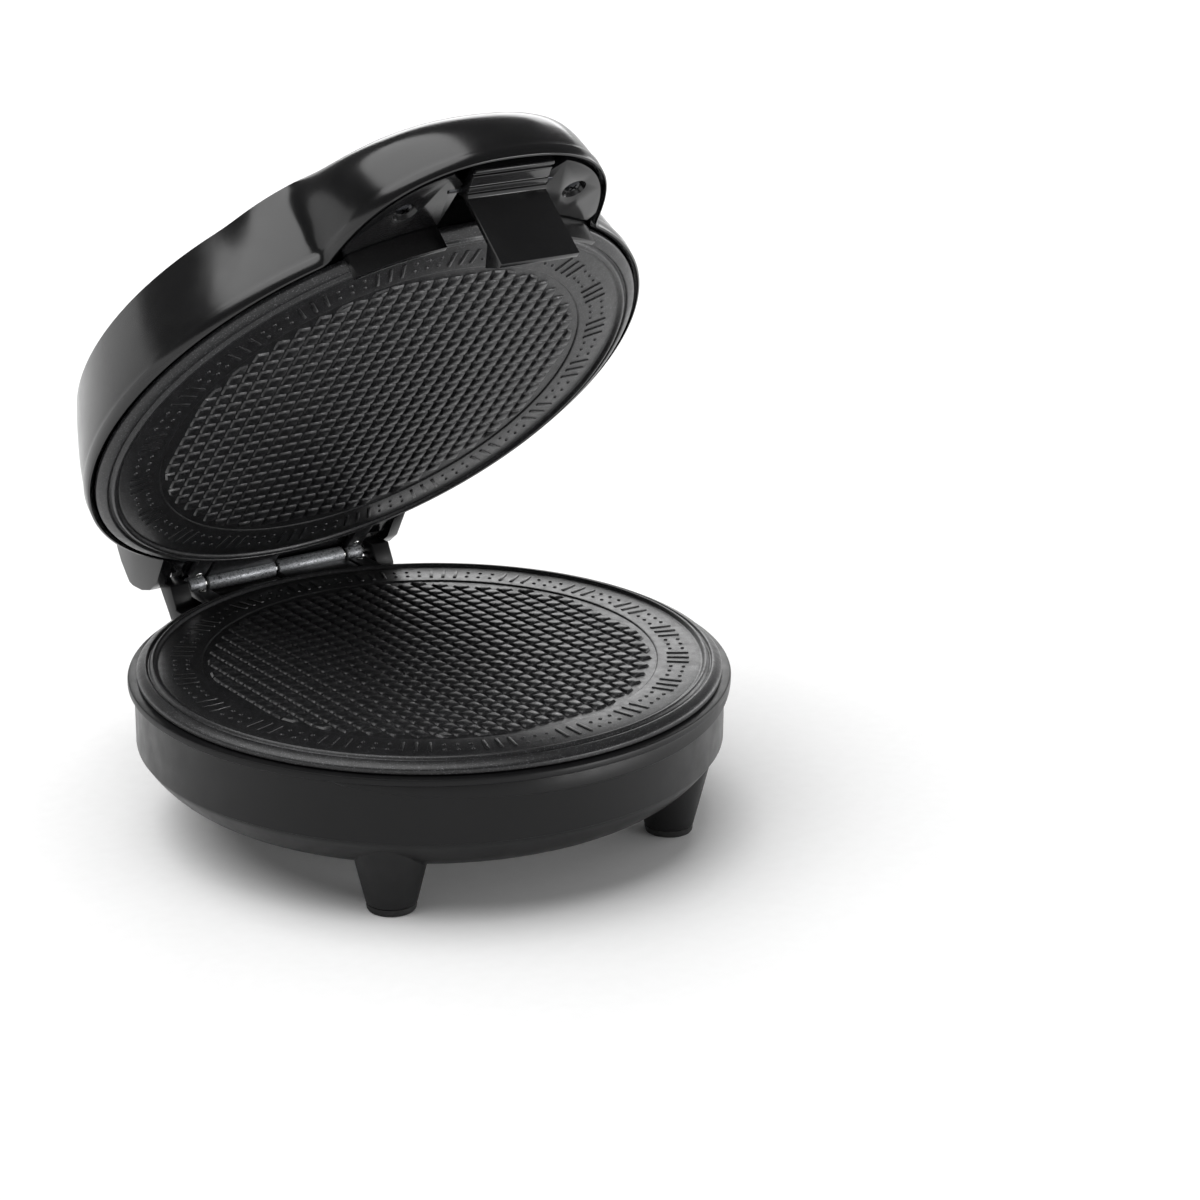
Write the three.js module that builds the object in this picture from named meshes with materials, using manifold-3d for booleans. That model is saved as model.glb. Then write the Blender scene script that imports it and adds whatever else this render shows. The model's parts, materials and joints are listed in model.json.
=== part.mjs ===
// A round stroopwafel maker with a hinged lid, standing open on four legs.
// Millimetres, +Z up, the bench at z = 0. The front, with the handle and latch, faces -Y.
// Lid and latch are drawn closed around the plates' common axis and the lid is then swung open.
import * as THREE from "three";
import { mergeVertices } from "three/addons/utils/BufferGeometryUtils.js";
import Module from "manifold-3d";

const wasm = await Module();
wasm.setup();

// Driving dimensions
const plateRadius = 115; // outer edge of the two baking plates
const meetHeight = 66; // bench to the plane where the plates meet, which holds the hinge axis
const hingeReach = 7; // plate edge to hinge axis
const lidOpenDegrees = 47.7; // how far the lid stands open
const fit = 0.3; // gap between pieces that touch
const overrun = 5; // how far a cut runs past what it cuts

// Baking plates: drops are measured from the plane where the plates meet
const plateDrop = 5.2; // back face of the casting
const faceDrop = 1.3; // baking face
const beadInset = 6.5; // plate edge to the middle of the raised ring that seals the baking area
const beadWidth = 2.2;
const beadDrop = 0.15;
const grooveInset = 4.7; // groove round the bead
const grooveDrop = 1.7;
const rimCrestInset = 3.8; // sloping rim outside the groove
const rimCrestDrop = 1;
const rimShoulderInset = 1.4;
const rimShoulderDrop = 2.1;
const rimEdgeDrop = 3.5;
const rimChamfer = 0.6;
const castRoot = 1; // how deep bosses and ribs root in the casting
const bossShares = [0.56, 0.6287]; // four screw bosses over the legs, as shares of the radius in x and y
const bossRadius = 5;
const bossDrop = 14.5;
const bossBoreDrop = 6.5; // blind end of the screw bores
const studReach = 16; // two pairs of studs for the straps
const studRadius = 3.4;
const studDrop = 9.2;
const studBoreDrop = 6;
const fusePlace = -30; // the second pair, for the fuse clip

// Heating elements
const elementShare = 0.5913; // ring of the tube's centre line, as a share of the plate's radius
const elementTube = 3.3;
const elementEndAngle = 11; // degrees from the rear to each end of the ring
const elementTurnRadius = 6; // corner where the tube turns away from the plate
const turnShares = [[0, 1], [0.08, 0.6], [0.29, 0.29], [0.6, 0.08], [1, 0]]; // points round that corner
const elementTail = 15; // length of the straight terminals
const channelWall = 2.4;
const channelHeight = 4.2;

// Heat shields
const shieldInset = 10; // plate edge to the shield's edge
const shieldSheet = 1;
const shieldRim = 5.8;
const shieldVent = 10; // centre hole
const shieldTerminalHole = 5.6;

// Hinge: barrels stand side by side, those of one plate between those of the other
const barrelRadius = 3.6;
const barrelGap = 1.5;
const longBarrelStart = 0.7;
const longBarrelEnd = 33;
const shortBarrelLength = 7.5;
const lugTopDrop = 0.9;
const lugBottomDrop = 3.6;
const lugRoot = 16; // how far a lug reaches in over the plate
const tabClearance = 0.8; // lug without a barrel to the barrel behind it
const hingePinRadius = 2;
const lugRivetSetback = 6.2; // hinge axis to the rivets in the lugs
const rivetHeadRadius = 1.7;
const rivetHeadHeight = 0.7;
const rivetShankRadius = 0.9;

// Lower housing
const floorHeight = 17.5; // bench to the underside
const wallReach = 1; // plate edge to the outside of the wall
const bellyInset = 0.4; // wall to where the rounded belly meets it
const bellyHeight = 33.6;
const bellyPullInset = 10; // control point of the belly's curve
const bellyPullHeight = 18.6;
const floorInset = 24; // wall to the edge of the flat floor
const flangeReach = 2.5; // wall to the flange's edge
const flangeThickness = 2.8;
const flangeBevel = 0.6;
const flangeInset = 3.6; // wall to the flange's inner edge
const housingWall = 2.6;
const postRadius = 6.2;
const lipDepth = 8.9; // top of the flange to the lower edge of the front catch lip
const lipHalfAngle = 50;
const lipSink = 1; // how far the lip's root sinks into the wall

// Hinge towers of the housing: places are measured back from the hinge axis and up from it
const towerInner = 44.5;
const towerOuter = 53;
const towerTop = 4;
const towerRear = 4.6;
const towerFront = 6.4;
const towerNeckFront = 10.6;
const towerNeckHeight = 4;
const towerFootRear = 4;
const towerFootHeight = 8.2;
const towerHeelRear = 13;
const towerHeelHeight = 21;
const towerRoot = 21; // how far a tower reaches into the housing's wall
const towerPinEnd = 0.5; // tower face to the end of the hinge pin

// Legs, foot pads and leg screws
const legFootRadius = 9.7;
const legFlareShare = 0.235; // growth of the radius for each millimetre up
const padHeight = 2.7;
const padRadius = 9.3;
const padBevel = 1.1;
const padPlugHeight = 9;
const legBoreRadius = 5.2;
const legWebHeight = 14.7; // bench to the web that the screw head bears on
const plateScrewRadius = 2;
const plateScrewHeadRadius = 3.8;
const plateScrewHeadHeight = 2.4;

// Thermostat and fuses
const strapHalfLength = 20;
const strapWidth = 8;
const strapSheet = 1;
const strapScrewRadius = 1.5;
const strapScrewHeadRadius = 2.8;
const strapScrewHeadHeight = 1.8;
const thermostatRadius = 8;
const thermostatHeight = 8.4;
const bladeReach = 3.6;
const bladeThickness = 0.8;
const bladeWidth = 5;
const bladeLength = 9;
const fuseRadius = 1.8;
const fuseLength = 14;
const fuseWingLength = 10;
const fuseWingHeight = 2.4;

// Terminal block and cord gland
const blockLength = 30;
const blockWidth = 14;
const blockHeight = 11;
const blockShare = 0.4; // place of the block behind the plates' axis, as a share of the radius
const blockWires = 3;
const blockBoreRadius = 2.2;
const glandDrop = 11.7; // flange to the cord's inlet
const glandFlangeRadius = 8.4;
const glandFlangeThickness = 2;
const glandNeckRadius = 6.8;
const glandBoreRadius = 3.6;
const glandNut = 1.6;
const glandSag = 1.2; // how far the wall curves away under the flange's sides

// Lid shell: rises are measured from the plane where the plates meet
const lidRimRise = 4; // lower edge of the shell
const lidBandRise = 9; // fine step above the rim band
const lidBandStep = 0.7;
const lidRimReach = 3; // plate edge to the outside of the shell's rim
const lidShoulderRise = 42.2; // top of the wall
const lidShoulderInset = 10.4; // rim to the top of the wall
const lidCrown = 3.6; // rise of the top from its edge to its middle
const lidWall = 2.4;
const handleBulges = [36.4, 7]; // reach of the handle beyond the round wall: at the rim, at the top
const handleHalfAngles = [30.6, 45].map(THREE.MathUtils.degToRad);
const flankBulge = 9.1; // reach of the handle's straight flanks at the top of the wall
const handleFrontPowers = [3, 3.3]; // roundness of the handle's front
const handleFlankPowers = [1.25, 1.23]; // how it runs out into the round wall
const handleRisePower = 5.9; // how the handle curves over from the rim's outline to the top's
const wallRisePower = 1.3;
const wallLevelShares = [0.3, 0.55, 0.73, 0.86, 0.95];
const crownLevelShares = [0.82, 0.42];

// Ears behind the lid: places are measured back from the hinge axis and up from it
const earInset = 1; // tower's inner face to the ear's
const earCheek = 4.9; // thickness of the ear outside the tower
const earTowerGap = 0.6;
const earClearRadius = 7.9; // keeps the ear's inner part clear of the tower while the lid swings
const earRear = 13.3;
const earRearRise = 14;
const earShoulderRear = 12.5;
const earShoulderRise = 24;
const earTopRear = 9;
const earTopRise = 33.5;
const earCrestRear = 4;
const earCrestRise = 37;
const earHeelRear = 10.2;
const earHeelRise = 9.6;
const earToeRear = 6.3;
const earToeRise = 5.6;
const earRoot = 24;
const earTopRoot = 36;
const cheekRise = 1.7;
const cheekFront = 7.5;
const cheekFrontRise = 0.4;

// Lid frame
const frameTopSheet = 2.4;
const frameScrewMargin = 8.8; // inner edge of the frame to the plate screws
const frameSkirtInset = 3; // plate edge to the outside of the skirt
const frameSkirtWall = 2.4;
const panelRise = 4.4; // underside of the handle panel
const panelStep = 1.2; // the panel's inner part lies this much higher, over the plate's edge
const panelThickness = 2.2;
const panelInset = 3.6; // groove between the panel and the shell's rim
const panelHalfAngle = THREE.MathUtils.degToRad(27);
const guardGap = 0.4; // plate edge to the guard that hangs in front of the plates
const guardWall = 2;
const guardLift = 0.5; // housing's flange to the guard's lower edge
const guardCorner = 5; // rounding of the guard's lower corners
const panelSteps = 16;
const handleScrewReachX = 36.8;
const handleScrewReach = 13; // plate edge to the handle screws
const handleScrewRadius = 1.7;
const handleScrewHeadRadius = 3.3;
const handleScrewHeadHeight = 1.9;
const handleScrewLength = 12;
const handlePostRadius = 4.4;
const seatPostShares = [0.678, 0.539]; // two posts at the rear: their places in x and y
const seatPostRadius = 4;

// Latch: places are measured from its pivot, forward (-Y) and up
const latchReach = 22; // plate edge to the latch pivot
const latchPivotRise = 5.5;
const latchHubRadius = 3.4;
const latchPinRadius = 1.5;
const latchHalfWidth = 17;
const latchSideGap = 1.3;
const latchTabFront = 13.1;
const latchTabTop = 0.5;
const latchTabThickness = 2.2;
const latchFoldDrop = 5.5; // where the sloping tab meets the flap
const latchRibShares = [0.02, 0.26, 0.5, 0.74]; // places of the ribs along the tab
const latchRibWidth = 1.3;
const latchRibHeight = 0.8;
const latchFlapThickness = 2.4;
const latchFlapDrop = 35;
const latchHookReach = 8.6; // tip of the hook, behind the pivot
const latchHookDrop = 29.5;
const latchHookTop = 24.5; // where the hook's upper slope starts
const windowFlare = 5.7; // how far the latch's window in the frame widens in front of the pin's ears
const cheekPlateDepth = 4; // ears that hold the latch pin
const cheekPlateThickness = 4.2;
const cheekPlateRise = 5.4;

// Indicator lamps in the lid's top
const lampReachX = 11;
const lampInset = 29; // plate edge to the lamps
const lampHeadRadius = 5.2;
const lampHeadHeight = 1.6;
const lampBodyRadius = 3.8;
const lampBodyLength = 12;
const lampTilt = 0.35; // how far the crowned top falls across the lamp's head

// Numbers of segments
const bigRound = 48;
const midRound = 20;
const smallRound = 12;
const handleSegments = 16;
const rearSegments = 36;
const tubeSegments = 56;
const halfTubeSides = 4;
const bellySegments = 4;
const arcSteps = 60; // points along a heating element's ring

// Derived places
const beadRadius = plateRadius - beadInset;
const bossReachX = plateRadius * bossShares[0];
const bossReachY = plateRadius * bossShares[1];
const elementRadius = plateRadius * elementShare;
const shieldRadius = plateRadius - shieldInset;
const wallRadius = plateRadius + wallReach;
const bellyRadius = wallRadius - bellyInset;
const floorRadius = wallRadius - floorInset;
const flangeRadius = wallRadius + flangeReach;
const lidRimRadius = plateRadius + lidRimReach;
const lidShoulderRadius = lidRimRadius - lidShoulderInset;
const earInner = towerInner + earInset;
const earOuter = towerOuter + earTowerGap + earCheek;
const frameSkirtOuter = plateRadius - frameSkirtInset;
const frameInnerRadius = Math.hypot(bossReachX, bossReachY) - frameScrewMargin;
const handleScrewFront = plateRadius + handleScrewReach;
const latchPivotFront = plateRadius + latchReach;
const hingeY = plateRadius + hingeReach;
const hingeZ = meetHeight;
const flangeTop = meetHeight - plateDrop - fit;
const flangeBottom = flangeTop - flangeThickness;
const glandHeight = flangeBottom - glandDrop;
const shieldDrop = bossDrop + fit;
const postTop = meetHeight - shieldDrop - shieldSheet - fit;
const shortBarrelStart = longBarrelEnd + barrelGap;
const shortBarrelEnd = shortBarrelStart + shortBarrelLength;
const lidOpen = THREE.MathUtils.degToRad(lidOpenDegrees);
const rearReach = hingeY + earTopRear * Math.cos(lidOpen) + earTopRise * Math.sin(lidOpen);
const plateBossSides = [[1, 1], [-1, 1], [-1, -1], [1, -1]];
const plateBossPlaces = plateBossSides.map(([x, y]) => [x * bossReachX, y * bossReachY]);

// Materials, with the colours that the photograph shows
const castNonStick = material("#2b2c2e", 0.55, 0.6);
const satinPlastic = material("#3a3b3d", 0.55, 0);
const glossPlastic = material("#26272a", 0.18, 0);
const legPlastic = material("#1c1c1e", 0.5, 0);
const innerPlastic = material("#202123", 0.45, 0);
const rubber = material("#121212", 0.85, 0);
const brightSteel = material("#b9bcc0", 0.3, 1);
const sheetSteel = material("#9da1a5", 0.4, 1);
const elementSteel = material("#6d6f72", 0.45, 0.9);
const ceramic = material("#e6e1d6", 0.6, 0);
const redLens = material("#a81c14", 0.2, 0);
const greenLens = material("#1f8a3c", 0.2, 0);

function material(color, roughness, metalness) {
  return new THREE.MeshStandardMaterial({ color, roughness, metalness });
}

// Solids

// A manifold solid of a closed three.js geometry.
function solid(geometry) {
  const bare = geometry.index ? geometry.toNonIndexed() : geometry.clone();
  bare.deleteAttribute("normal");
  bare.deleteAttribute("uv");
  const merged = mergeVertices(bare);
  const corners = merged.index.array;
  const faces = [];
  for (let i = 0; i < corners.length; i += 3) {
    const [a, b, c] = corners.slice(i, i + 3);
    if (a !== b && b !== c && c !== a) faces.push(a, b, c);
  }
  const vertProperties = merged.attributes.position.array;
  return new wasm.Manifold(new wasm.Mesh({ numProp: 3, vertProperties, triVerts: new Uint32Array(faces) }));
}

function join(first, ...others) {
  return others.reduce((sum, other) => sum.add(other), first);
}

function cut(body, ...tools) {
  return tools.reduce((rest, tool) => rest.subtract(tool), body);
}

// A body turned round the Z axis from [radius, height] points.
function turned(profile, segments = bigRound) {
  const points = profile.map(([radius, height]) => new THREE.Vector2(radius, height));
  if (THREE.ShapeUtils.area(points) < 0) points.reverse();
  const onAxis = points[0].x === 0 && points[points.length - 1].x === 0;
  if (!onAxis) points.push(points[0].clone());
  return solid(new THREE.LatheGeometry(points, segments).rotateX(Math.PI / 2));
}

function extruded(outline, depth) {
  const shape = new THREE.Shape(outline.map(([x, y]) => new THREE.Vector2(x, y)));
  return new THREE.ExtrudeGeometry(shape, { depth, bevelEnabled: false });
}

// An outline of [x, y] points carried from one height to another.
function prism(outline, bottom, top) {
  return solid(extruded(outline, top - bottom).translate(0, 0, bottom));
}

// An outline of [y, z] points carried from one x to another.
function sidePrism(outline, left, right) {
  const axes = [[0, 1, 0], [0, 0, 1], [1, 0, 0]].map((axis) => new THREE.Vector3(...axis));
  const turn = new THREE.Matrix4().makeBasis(...axes);
  return solid(extruded(outline, right - left).applyMatrix4(turn).translate(left, 0, 0));
}

function block([left, right], [front, rear], [bottom, top]) {
  const geometry = new THREE.BoxGeometry(right - left, rear - front, top - bottom);
  return solid(geometry.translate((left + right) / 2, (front + rear) / 2, (bottom + top) / 2));
}

function rodZ(radius, [x, y], [bottom, top], segments = smallRound) {
  const geometry = new THREE.CylinderGeometry(radius, radius, top - bottom, segments).rotateX(Math.PI / 2);
  return solid(geometry.translate(x, y, (bottom + top) / 2));
}

function rodX(radius, [left, right], [y, z], segments = midRound) {
  const geometry = new THREE.CylinderGeometry(radius, radius, right - left, segments).rotateZ(Math.PI / 2);
  return solid(geometry.translate((left + right) / 2, y, z));
}

function rodY(radius, [front, rear], [x, z], segments = midRound) {
  const geometry = new THREE.CylinderGeometry(radius, radius, rear - front, segments);
  return solid(geometry.translate(x, (front + rear) / 2, z));
}

// Skins a stack of rings that all have the same number of points, and closes both ends.
function loft(rings) {
  const count = rings[0].length;
  const points = rings.flat();
  const faces = [];
  for (let level = 0; level < rings.length - 1; level++) {
    for (let step = 0; step < count; step++) {
      const here = level * count + step;
      const next = level * count + ((step + 1) % count);
      faces.push(here, next, next + count, here, next + count, here + count);
    }
  }
  const lastRing = (rings.length - 1) * count;
  const bottomMiddle = points.push([0, 0, rings[0][0][2]]) - 1;
  const topMiddle = points.push([0, 0, rings[rings.length - 1][0][2]]) - 1;
  for (let step = 0; step < count; step++) {
    const next = (step + 1) % count;
    faces.push(bottomMiddle, next, step);
    faces.push(topMiddle, lastRing + step, lastRing + next);
  }
  const geometry = new THREE.BufferGeometry();
  geometry.setAttribute("position", new THREE.Float32BufferAttribute(points.flat(), 3));
  geometry.setIndex(faces);
  return solid(geometry);
}

// A named mesh of a finished solid.
function piece(name, body, look) {
  const { numProp, vertProperties, triVerts } = body.getMesh();
  const geometry = new THREE.BufferGeometry();
  geometry.setAttribute("position", new THREE.BufferAttribute(vertProperties, numProp));
  geometry.setIndex(new THREE.BufferAttribute(triVerts, 1));
  const flat = geometry.toNonIndexed();
  flat.computeVertexNormals();
  const mesh = new THREE.Mesh(flat, look);
  mesh.name = name;
  return mesh;
}

function bothSides(make) {
  return [make(-1), make(1)];
}

// A span across x on one side of the middle.
function sideSpan(side, inner, outer) {
  return side < 0 ? [-outer, -inner] : [inner, outer];
}

// A pan-headed screw on the Z axis: the head's flat side at height 0 and the shank pointing up.
function screw(shankRadius, length, headRadius, headHeight) {
  const profile = [
    [0, -headHeight],
    [headRadius / 2, -headHeight],
    [headRadius, -headHeight / 2],
    [headRadius, 0],
    [shankRadius, 0],
    [shankRadius, length],
    [0, length],
  ];
  return turned(profile, smallRound);
}

// Turns a part of the base over into the lid, about the plane where the plates meet.
function flipped(body) {
  return body.rotate([0, 180, 0]);
}

// Baking plates

// One casting serves both plates. It is drawn as the lower one, with the meeting plane at height 0.
function bakingPlate() {
  const casting = turned([
    [0, -faceDrop],
    [beadRadius - beadWidth, -faceDrop],
    [beadRadius - beadWidth / 2, -beadDrop],
    [beadRadius + beadWidth / 2, -beadDrop],
    [plateRadius - grooveInset, -grooveDrop],
    [plateRadius - rimCrestInset, -rimCrestDrop],
    [plateRadius - rimShoulderInset, -rimShoulderDrop],
    [plateRadius, -rimEdgeDrop],
    [plateRadius, rimChamfer - plateDrop],
    [plateRadius - rimChamfer, -plateDrop],
    [0, -plateDrop],
  ]);
  const root = castRoot - plateDrop;
  const bosses = plateBossPlaces.map((place) => rodZ(bossRadius, place, [-bossDrop, root]));
  const bores = plateBossPlaces.map((place) => {
    return rodZ(plateScrewRadius + fit, place, [-bossDrop - overrun, -bossBoreDrop]);
  });
  const studs = studPlaces().map((place) => rodZ(studRadius, place, [-studDrop, root]));
  const studBores = studPlaces().map((place) => {
    return rodZ(strapScrewRadius + fit, place, [-studDrop - overrun, -studBoreDrop]);
  });
  const whole = join(casting, ...channel(root), ...hingeLugs(), ...bosses, ...studs);
  const rivetHoles = bothSides((side) => rodZ(rivetShankRadius + fit, rivetPlace(side), [-plateDrop, 0]));
  const pinBore = rodX(hingePinRadius + fit, [-towerOuter, towerOuter], [hingeY, 0]);
  return cut(whole, pinBore, ...bores, ...studBores, ...rivetHoles);
}

function studPlaces() {
  return [0, fusePlace].flatMap((y) => bothSides((side) => [side * studReach, y]));
}

// Two ribs that hold the heating element between them.
function channel(root) {
  const inner = elementRadius - elementTube - fit;
  const outer = elementRadius + elementTube + fit;
  const low = -plateDrop - channelHeight;
  return [
    turned([[inner - channelWall, low], [inner, low], [inner, root], [inner - channelWall, root]]),
    turned([[outer, low], [outer + channelWall, low], [outer + channelWall, root], [outer, root]]),
  ];
}

// A short barrel on the left, a long one on the right and a plain tab outside it.
function hingeLugs() {
  const shortSpan = [-shortBarrelEnd, -shortBarrelStart];
  const longSpan = [longBarrelStart, longBarrelEnd];
  const tabSpan = [shortBarrelStart, shortBarrelEnd];
  const tabRear = hingeY - barrelRadius - tabClearance;
  const lug = (span, rear) => block(span, [plateRadius - lugRoot, rear], [-lugBottomDrop, -lugTopDrop]);
  return [
    lug(shortSpan, hingeY),
    lug(longSpan, hingeY),
    lug(tabSpan, tabRear),
    rodX(barrelRadius, shortSpan, [hingeY, 0]),
    rodX(barrelRadius, longSpan, [hingeY, 0]),
  ];
}

function rivetPlace(side) {
  return [side * (shortBarrelStart + shortBarrelEnd) / 2, hingeY - lugRivetSetback];
}

// A domed rivet in a lug, drawn for the lower plate.
function lugRivet(side) {
  const seat = fit - lugTopDrop;
  const dome = turned([
    [0, -lugBottomDrop],
    [rivetShankRadius, -lugBottomDrop],
    [rivetShankRadius, seat],
    [rivetHeadRadius, seat],
    [rivetHeadRadius / 2, seat + rivetHeadHeight - fit],
    [0, seat + rivetHeadHeight - fit],
  ], smallRound);
  return dome.translate([...rivetPlace(side), 0]);
}

// What is fixed behind a plate, drawn for the lower one

function elementCentreDrop() {
  return plateDrop + fit + elementTube;
}

function elementEnd(side) {
  const angle = Math.PI / 2 - side * THREE.MathUtils.degToRad(elementEndAngle);
  return [elementRadius * Math.cos(angle), elementRadius * Math.sin(angle)];
}

// A tube bent into an open ring, with both ends turned away from the plate.
function heatingElement() {
  const drop = elementCentreDrop();
  const startAngle = Math.PI / 2 + THREE.MathUtils.degToRad(elementEndAngle);
  const sweep = 2 * Math.PI - 2 * THREE.MathUtils.degToRad(elementEndAngle);
  const bendAngle = elementTurnRadius / elementRadius;
  const onRing = (angle, low) => {
    return new THREE.Vector3(elementRadius * Math.cos(angle), elementRadius * Math.sin(angle), -drop - low);
  };
  const corner = turnShares.map(([along, low]) => [bendAngle * along, elementTurnRadius * low]);
  const points = [onRing(startAngle, elementTurnRadius + elementTail)];
  points.push(...corner.map(([along, low]) => onRing(startAngle + along, low)));
  for (let step = 1; step < arcSteps; step++) {
    points.push(onRing(startAngle + bendAngle + ((sweep - 2 * bendAngle) * step) / arcSteps, 0));
  }
  points.push(...corner.reverse().map(([along, low]) => onRing(startAngle + sweep - along, low)));
  points.push(onRing(startAngle + sweep, elementTurnRadius + elementTail));
  const section = new THREE.Shape();
  section.absarc(0, 0, elementTube, 0, 2 * Math.PI);
  const extrudePath = new THREE.CatmullRomCurve3(points);
  const settings = { steps: tubeSegments, curveSegments: halfTubeSides, extrudePath };
  return solid(new THREE.ExtrudeGeometry(section, settings));
}

function heatShield() {
  const inner = shieldRadius - shieldSheet;
  const top = -shieldDrop;
  const low = top - shieldSheet;
  const dish = turned([
    [0, top],
    [inner, top],
    [inner, low + shieldRim],
    [shieldRadius, low + shieldRim],
    [shieldRadius, low],
    [0, low],
  ]);
  const reach = [low - overrun, top + overrun];
  const screwHoles = plateBossPlaces.map((place) => rodZ(plateScrewRadius + fit, place, reach));
  const terminalHoles = bothSides((side) => rodZ(shieldTerminalHole, elementEnd(side), reach));
  return cut(dish, rodZ(shieldVent, [0, 0], reach, midRound), ...screwHoles, ...terminalHoles);
}

// A sheet strap screwed to one pair of studs.
function strap(place) {
  const top = -studDrop - fit;
  const half = strapWidth / 2;
  const depth = [place - half, place + half];
  const sheet = block([-strapHalfLength, strapHalfLength], depth, [top - strapSheet, top]);
  const reach = [top - strapSheet - overrun, top + overrun];
  return cut(sheet, ...bothSides((side) => rodZ(strapScrewRadius + fit, [side * studReach, place], reach)));
}

function strapScrew(side, place) {
  const seat = studDrop + fit + strapSheet + fit;
  const length = seat - studBoreDrop - fit;
  const body = screw(strapScrewRadius, length, strapScrewHeadRadius, strapScrewHeadHeight);
  return body.translate([side * studReach, place, -seat]);
}

// A round thermostat can in its strap, with two blades for the wires.
function thermostat() {
  const top = -plateDrop - fit;
  const low = top - thermostatHeight;
  const can = rodZ(thermostatRadius, [0, 0], [low, top], midRound);
  const blades = bothSides((side) => {
    const span = sideSpan(side, bladeReach, bladeReach + bladeThickness);
    return block(span, [-bladeWidth / 2, bladeWidth / 2], [low - bladeLength, low + strapSheet]);
  });
  return join(strap(0), can, ...blades);
}

function thermalFuse() {
  const drop = plateDrop + fit + fuseRadius;
  return rodX(fuseRadius, [-fuseLength / 2, fuseLength / 2], [fusePlace, -drop], smallRound);
}

// The strap under the fuse, with a folded wing on each side of it.
function fuseClip() {
  const sheetLow = -studDrop - fit - strapSheet;
  const inner = fuseRadius + fit;
  const wings = [[-inner - strapSheet, -inner], [inner, inner + strapSheet]].map(([front, rear]) => {
    const span = [-fuseWingLength / 2, fuseWingLength / 2];
    const height = [sheetLow, sheetLow + strapSheet + fuseWingHeight];
    return block(span, [fusePlace + front, fusePlace + rear], height);
  });
  return join(strap(fusePlace), ...wings);
}

// Lower housing

// Outline of the bowl from the floor's edge up to the wall, grown or shrunk by an offset.
function bellyPoints(offset) {
  const curve = new THREE.QuadraticBezierCurve(
    new THREE.Vector2(floorRadius + offset, floorHeight - offset),
    new THREE.Vector2(wallRadius - bellyPullInset + offset, bellyPullHeight - offset),
    new THREE.Vector2(bellyRadius + offset, bellyHeight),
  );
  return curve.getPoints(bellySegments).map((point) => [point.x, point.y]);
}

function bowlOutside(offset) {
  return turned([
    [0, floorHeight - offset],
    ...bellyPoints(offset),
    [wallRadius + offset, flangeBottom],
    [flangeRadius + offset, flangeBottom],
    [flangeRadius + offset, flangeTop - flangeBevel],
    [flangeRadius + offset - flangeBevel, flangeTop],
    [0, flangeTop],
  ]);
}

function bowlInside() {
  return turned([
    [0, floorHeight + housingWall],
    ...bellyPoints(-housingWall),
    [wallRadius - housingWall, flangeBottom],
    [wallRadius - flangeInset, flangeBottom],
    [wallRadius - flangeInset, flangeTop + overrun],
    [0, flangeTop + overrun],
  ]);
}

// The lip under the front of the flange, which the latch hooks behind.
function catchLip() {
  const half = THREE.MathUtils.degToRad(lipHalfAngle);
  const front = -Math.PI / 2;
  const shape = new THREE.Shape();
  shape.absarc(0, 0, flangeRadius, front - half, front + half, false);
  shape.absarc(0, 0, wallRadius - lipSink, front + half, front - half, true);
  const depth = lipDepth - flangeBevel;
  const settings = { depth, bevelEnabled: false, curveSegments: midRound };
  return solid(new THREE.ExtrudeGeometry(shape, settings).translate(0, 0, flangeTop - lipDepth));
}

// Leaning towers that hold the ends of the hinge pin.
function hingeTower(side) {
  const outline = [
    [-towerRoot, -towerHeelHeight],
    [-towerHeelRear, -towerHeelHeight],
    [-towerFootRear, -towerFootHeight],
    [towerRear, towerTop - flangeBevel],
    [towerRear - flangeBevel, towerTop],
    [-towerFront, towerTop],
    [-towerNeckFront, -towerNeckHeight],
    [-towerNeckFront, -plateDrop - fit],
    [-towerRoot, -plateDrop - fit],
  ].map(([back, rise]) => [hingeY + back, hingeZ + rise]);
  return sidePrism(outline, ...sideSpan(side, towerInner, towerOuter));
}

function lowerHousing() {
  const outside = bowlOutside(0);
  const shell = cut(join(outside, catchLip(), ...bothSides(hingeTower)), bowlInside());
  const posts = plateBossPlaces.map((place) => rodZ(postRadius, place, [floorHeight, postTop], smallRound));
  const trimmed = posts.map((post) => post.intersect(outside));
  const bores = plateBossPlaces.map((place) => {
    return rodZ(plateScrewRadius + fit, place, [floorHeight - overrun, postTop + overrun]);
  });
  const boreEnd = towerOuter + overrun;
  const pinBore = rodX(hingePinRadius + fit, [-boreEnd, boreEnd], [hingeY, hingeZ]);
  const inletReach = [wallRadius - housingWall - overrun, wallRadius + overrun];
  const inlet = rodY(glandNeckRadius + fit, inletReach, [0, glandHeight]);
  return cut(join(shell, ...trimmed), pinBore, inlet, ...bores);
}

// Legs

function leg(place) {
  const grow = (bellyHeight - padHeight - fit) * legFlareShare;
  const bottom = padHeight + fit;
  const cone = turned([
    [0, bottom],
    [legFootRadius, bottom],
    [legFootRadius + grow, bellyHeight],
    [0, bellyHeight],
  ], midRound).translate([...place, 0]);
  const hollow = rodZ(legBoreRadius, place, [bottom - overrun, legWebHeight], midRound);
  const bore = rodZ(plateScrewRadius + fit, place, [0, bellyHeight]);
  return cut(cone, bowlOutside(fit), hollow, bore);
}

function footPad(place) {
  const plug = legBoreRadius - fit;
  return turned([
    [0, 0],
    [padRadius - padBevel, 0],
    [padRadius, padBevel],
    [padRadius, padHeight],
    [plug, padHeight],
    [plug, padPlugHeight],
    [0, padPlugHeight],
  ], midRound).translate([...place, 0]);
}

function legScrew(place) {
  const seat = legWebHeight - fit;
  const length = meetHeight - bossBoreDrop - fit - seat;
  const body = screw(plateScrewRadius, length, plateScrewHeadRadius, plateScrewHeadHeight);
  return body.translate([...place, seat]);
}

// Terminal block and gland

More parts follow.
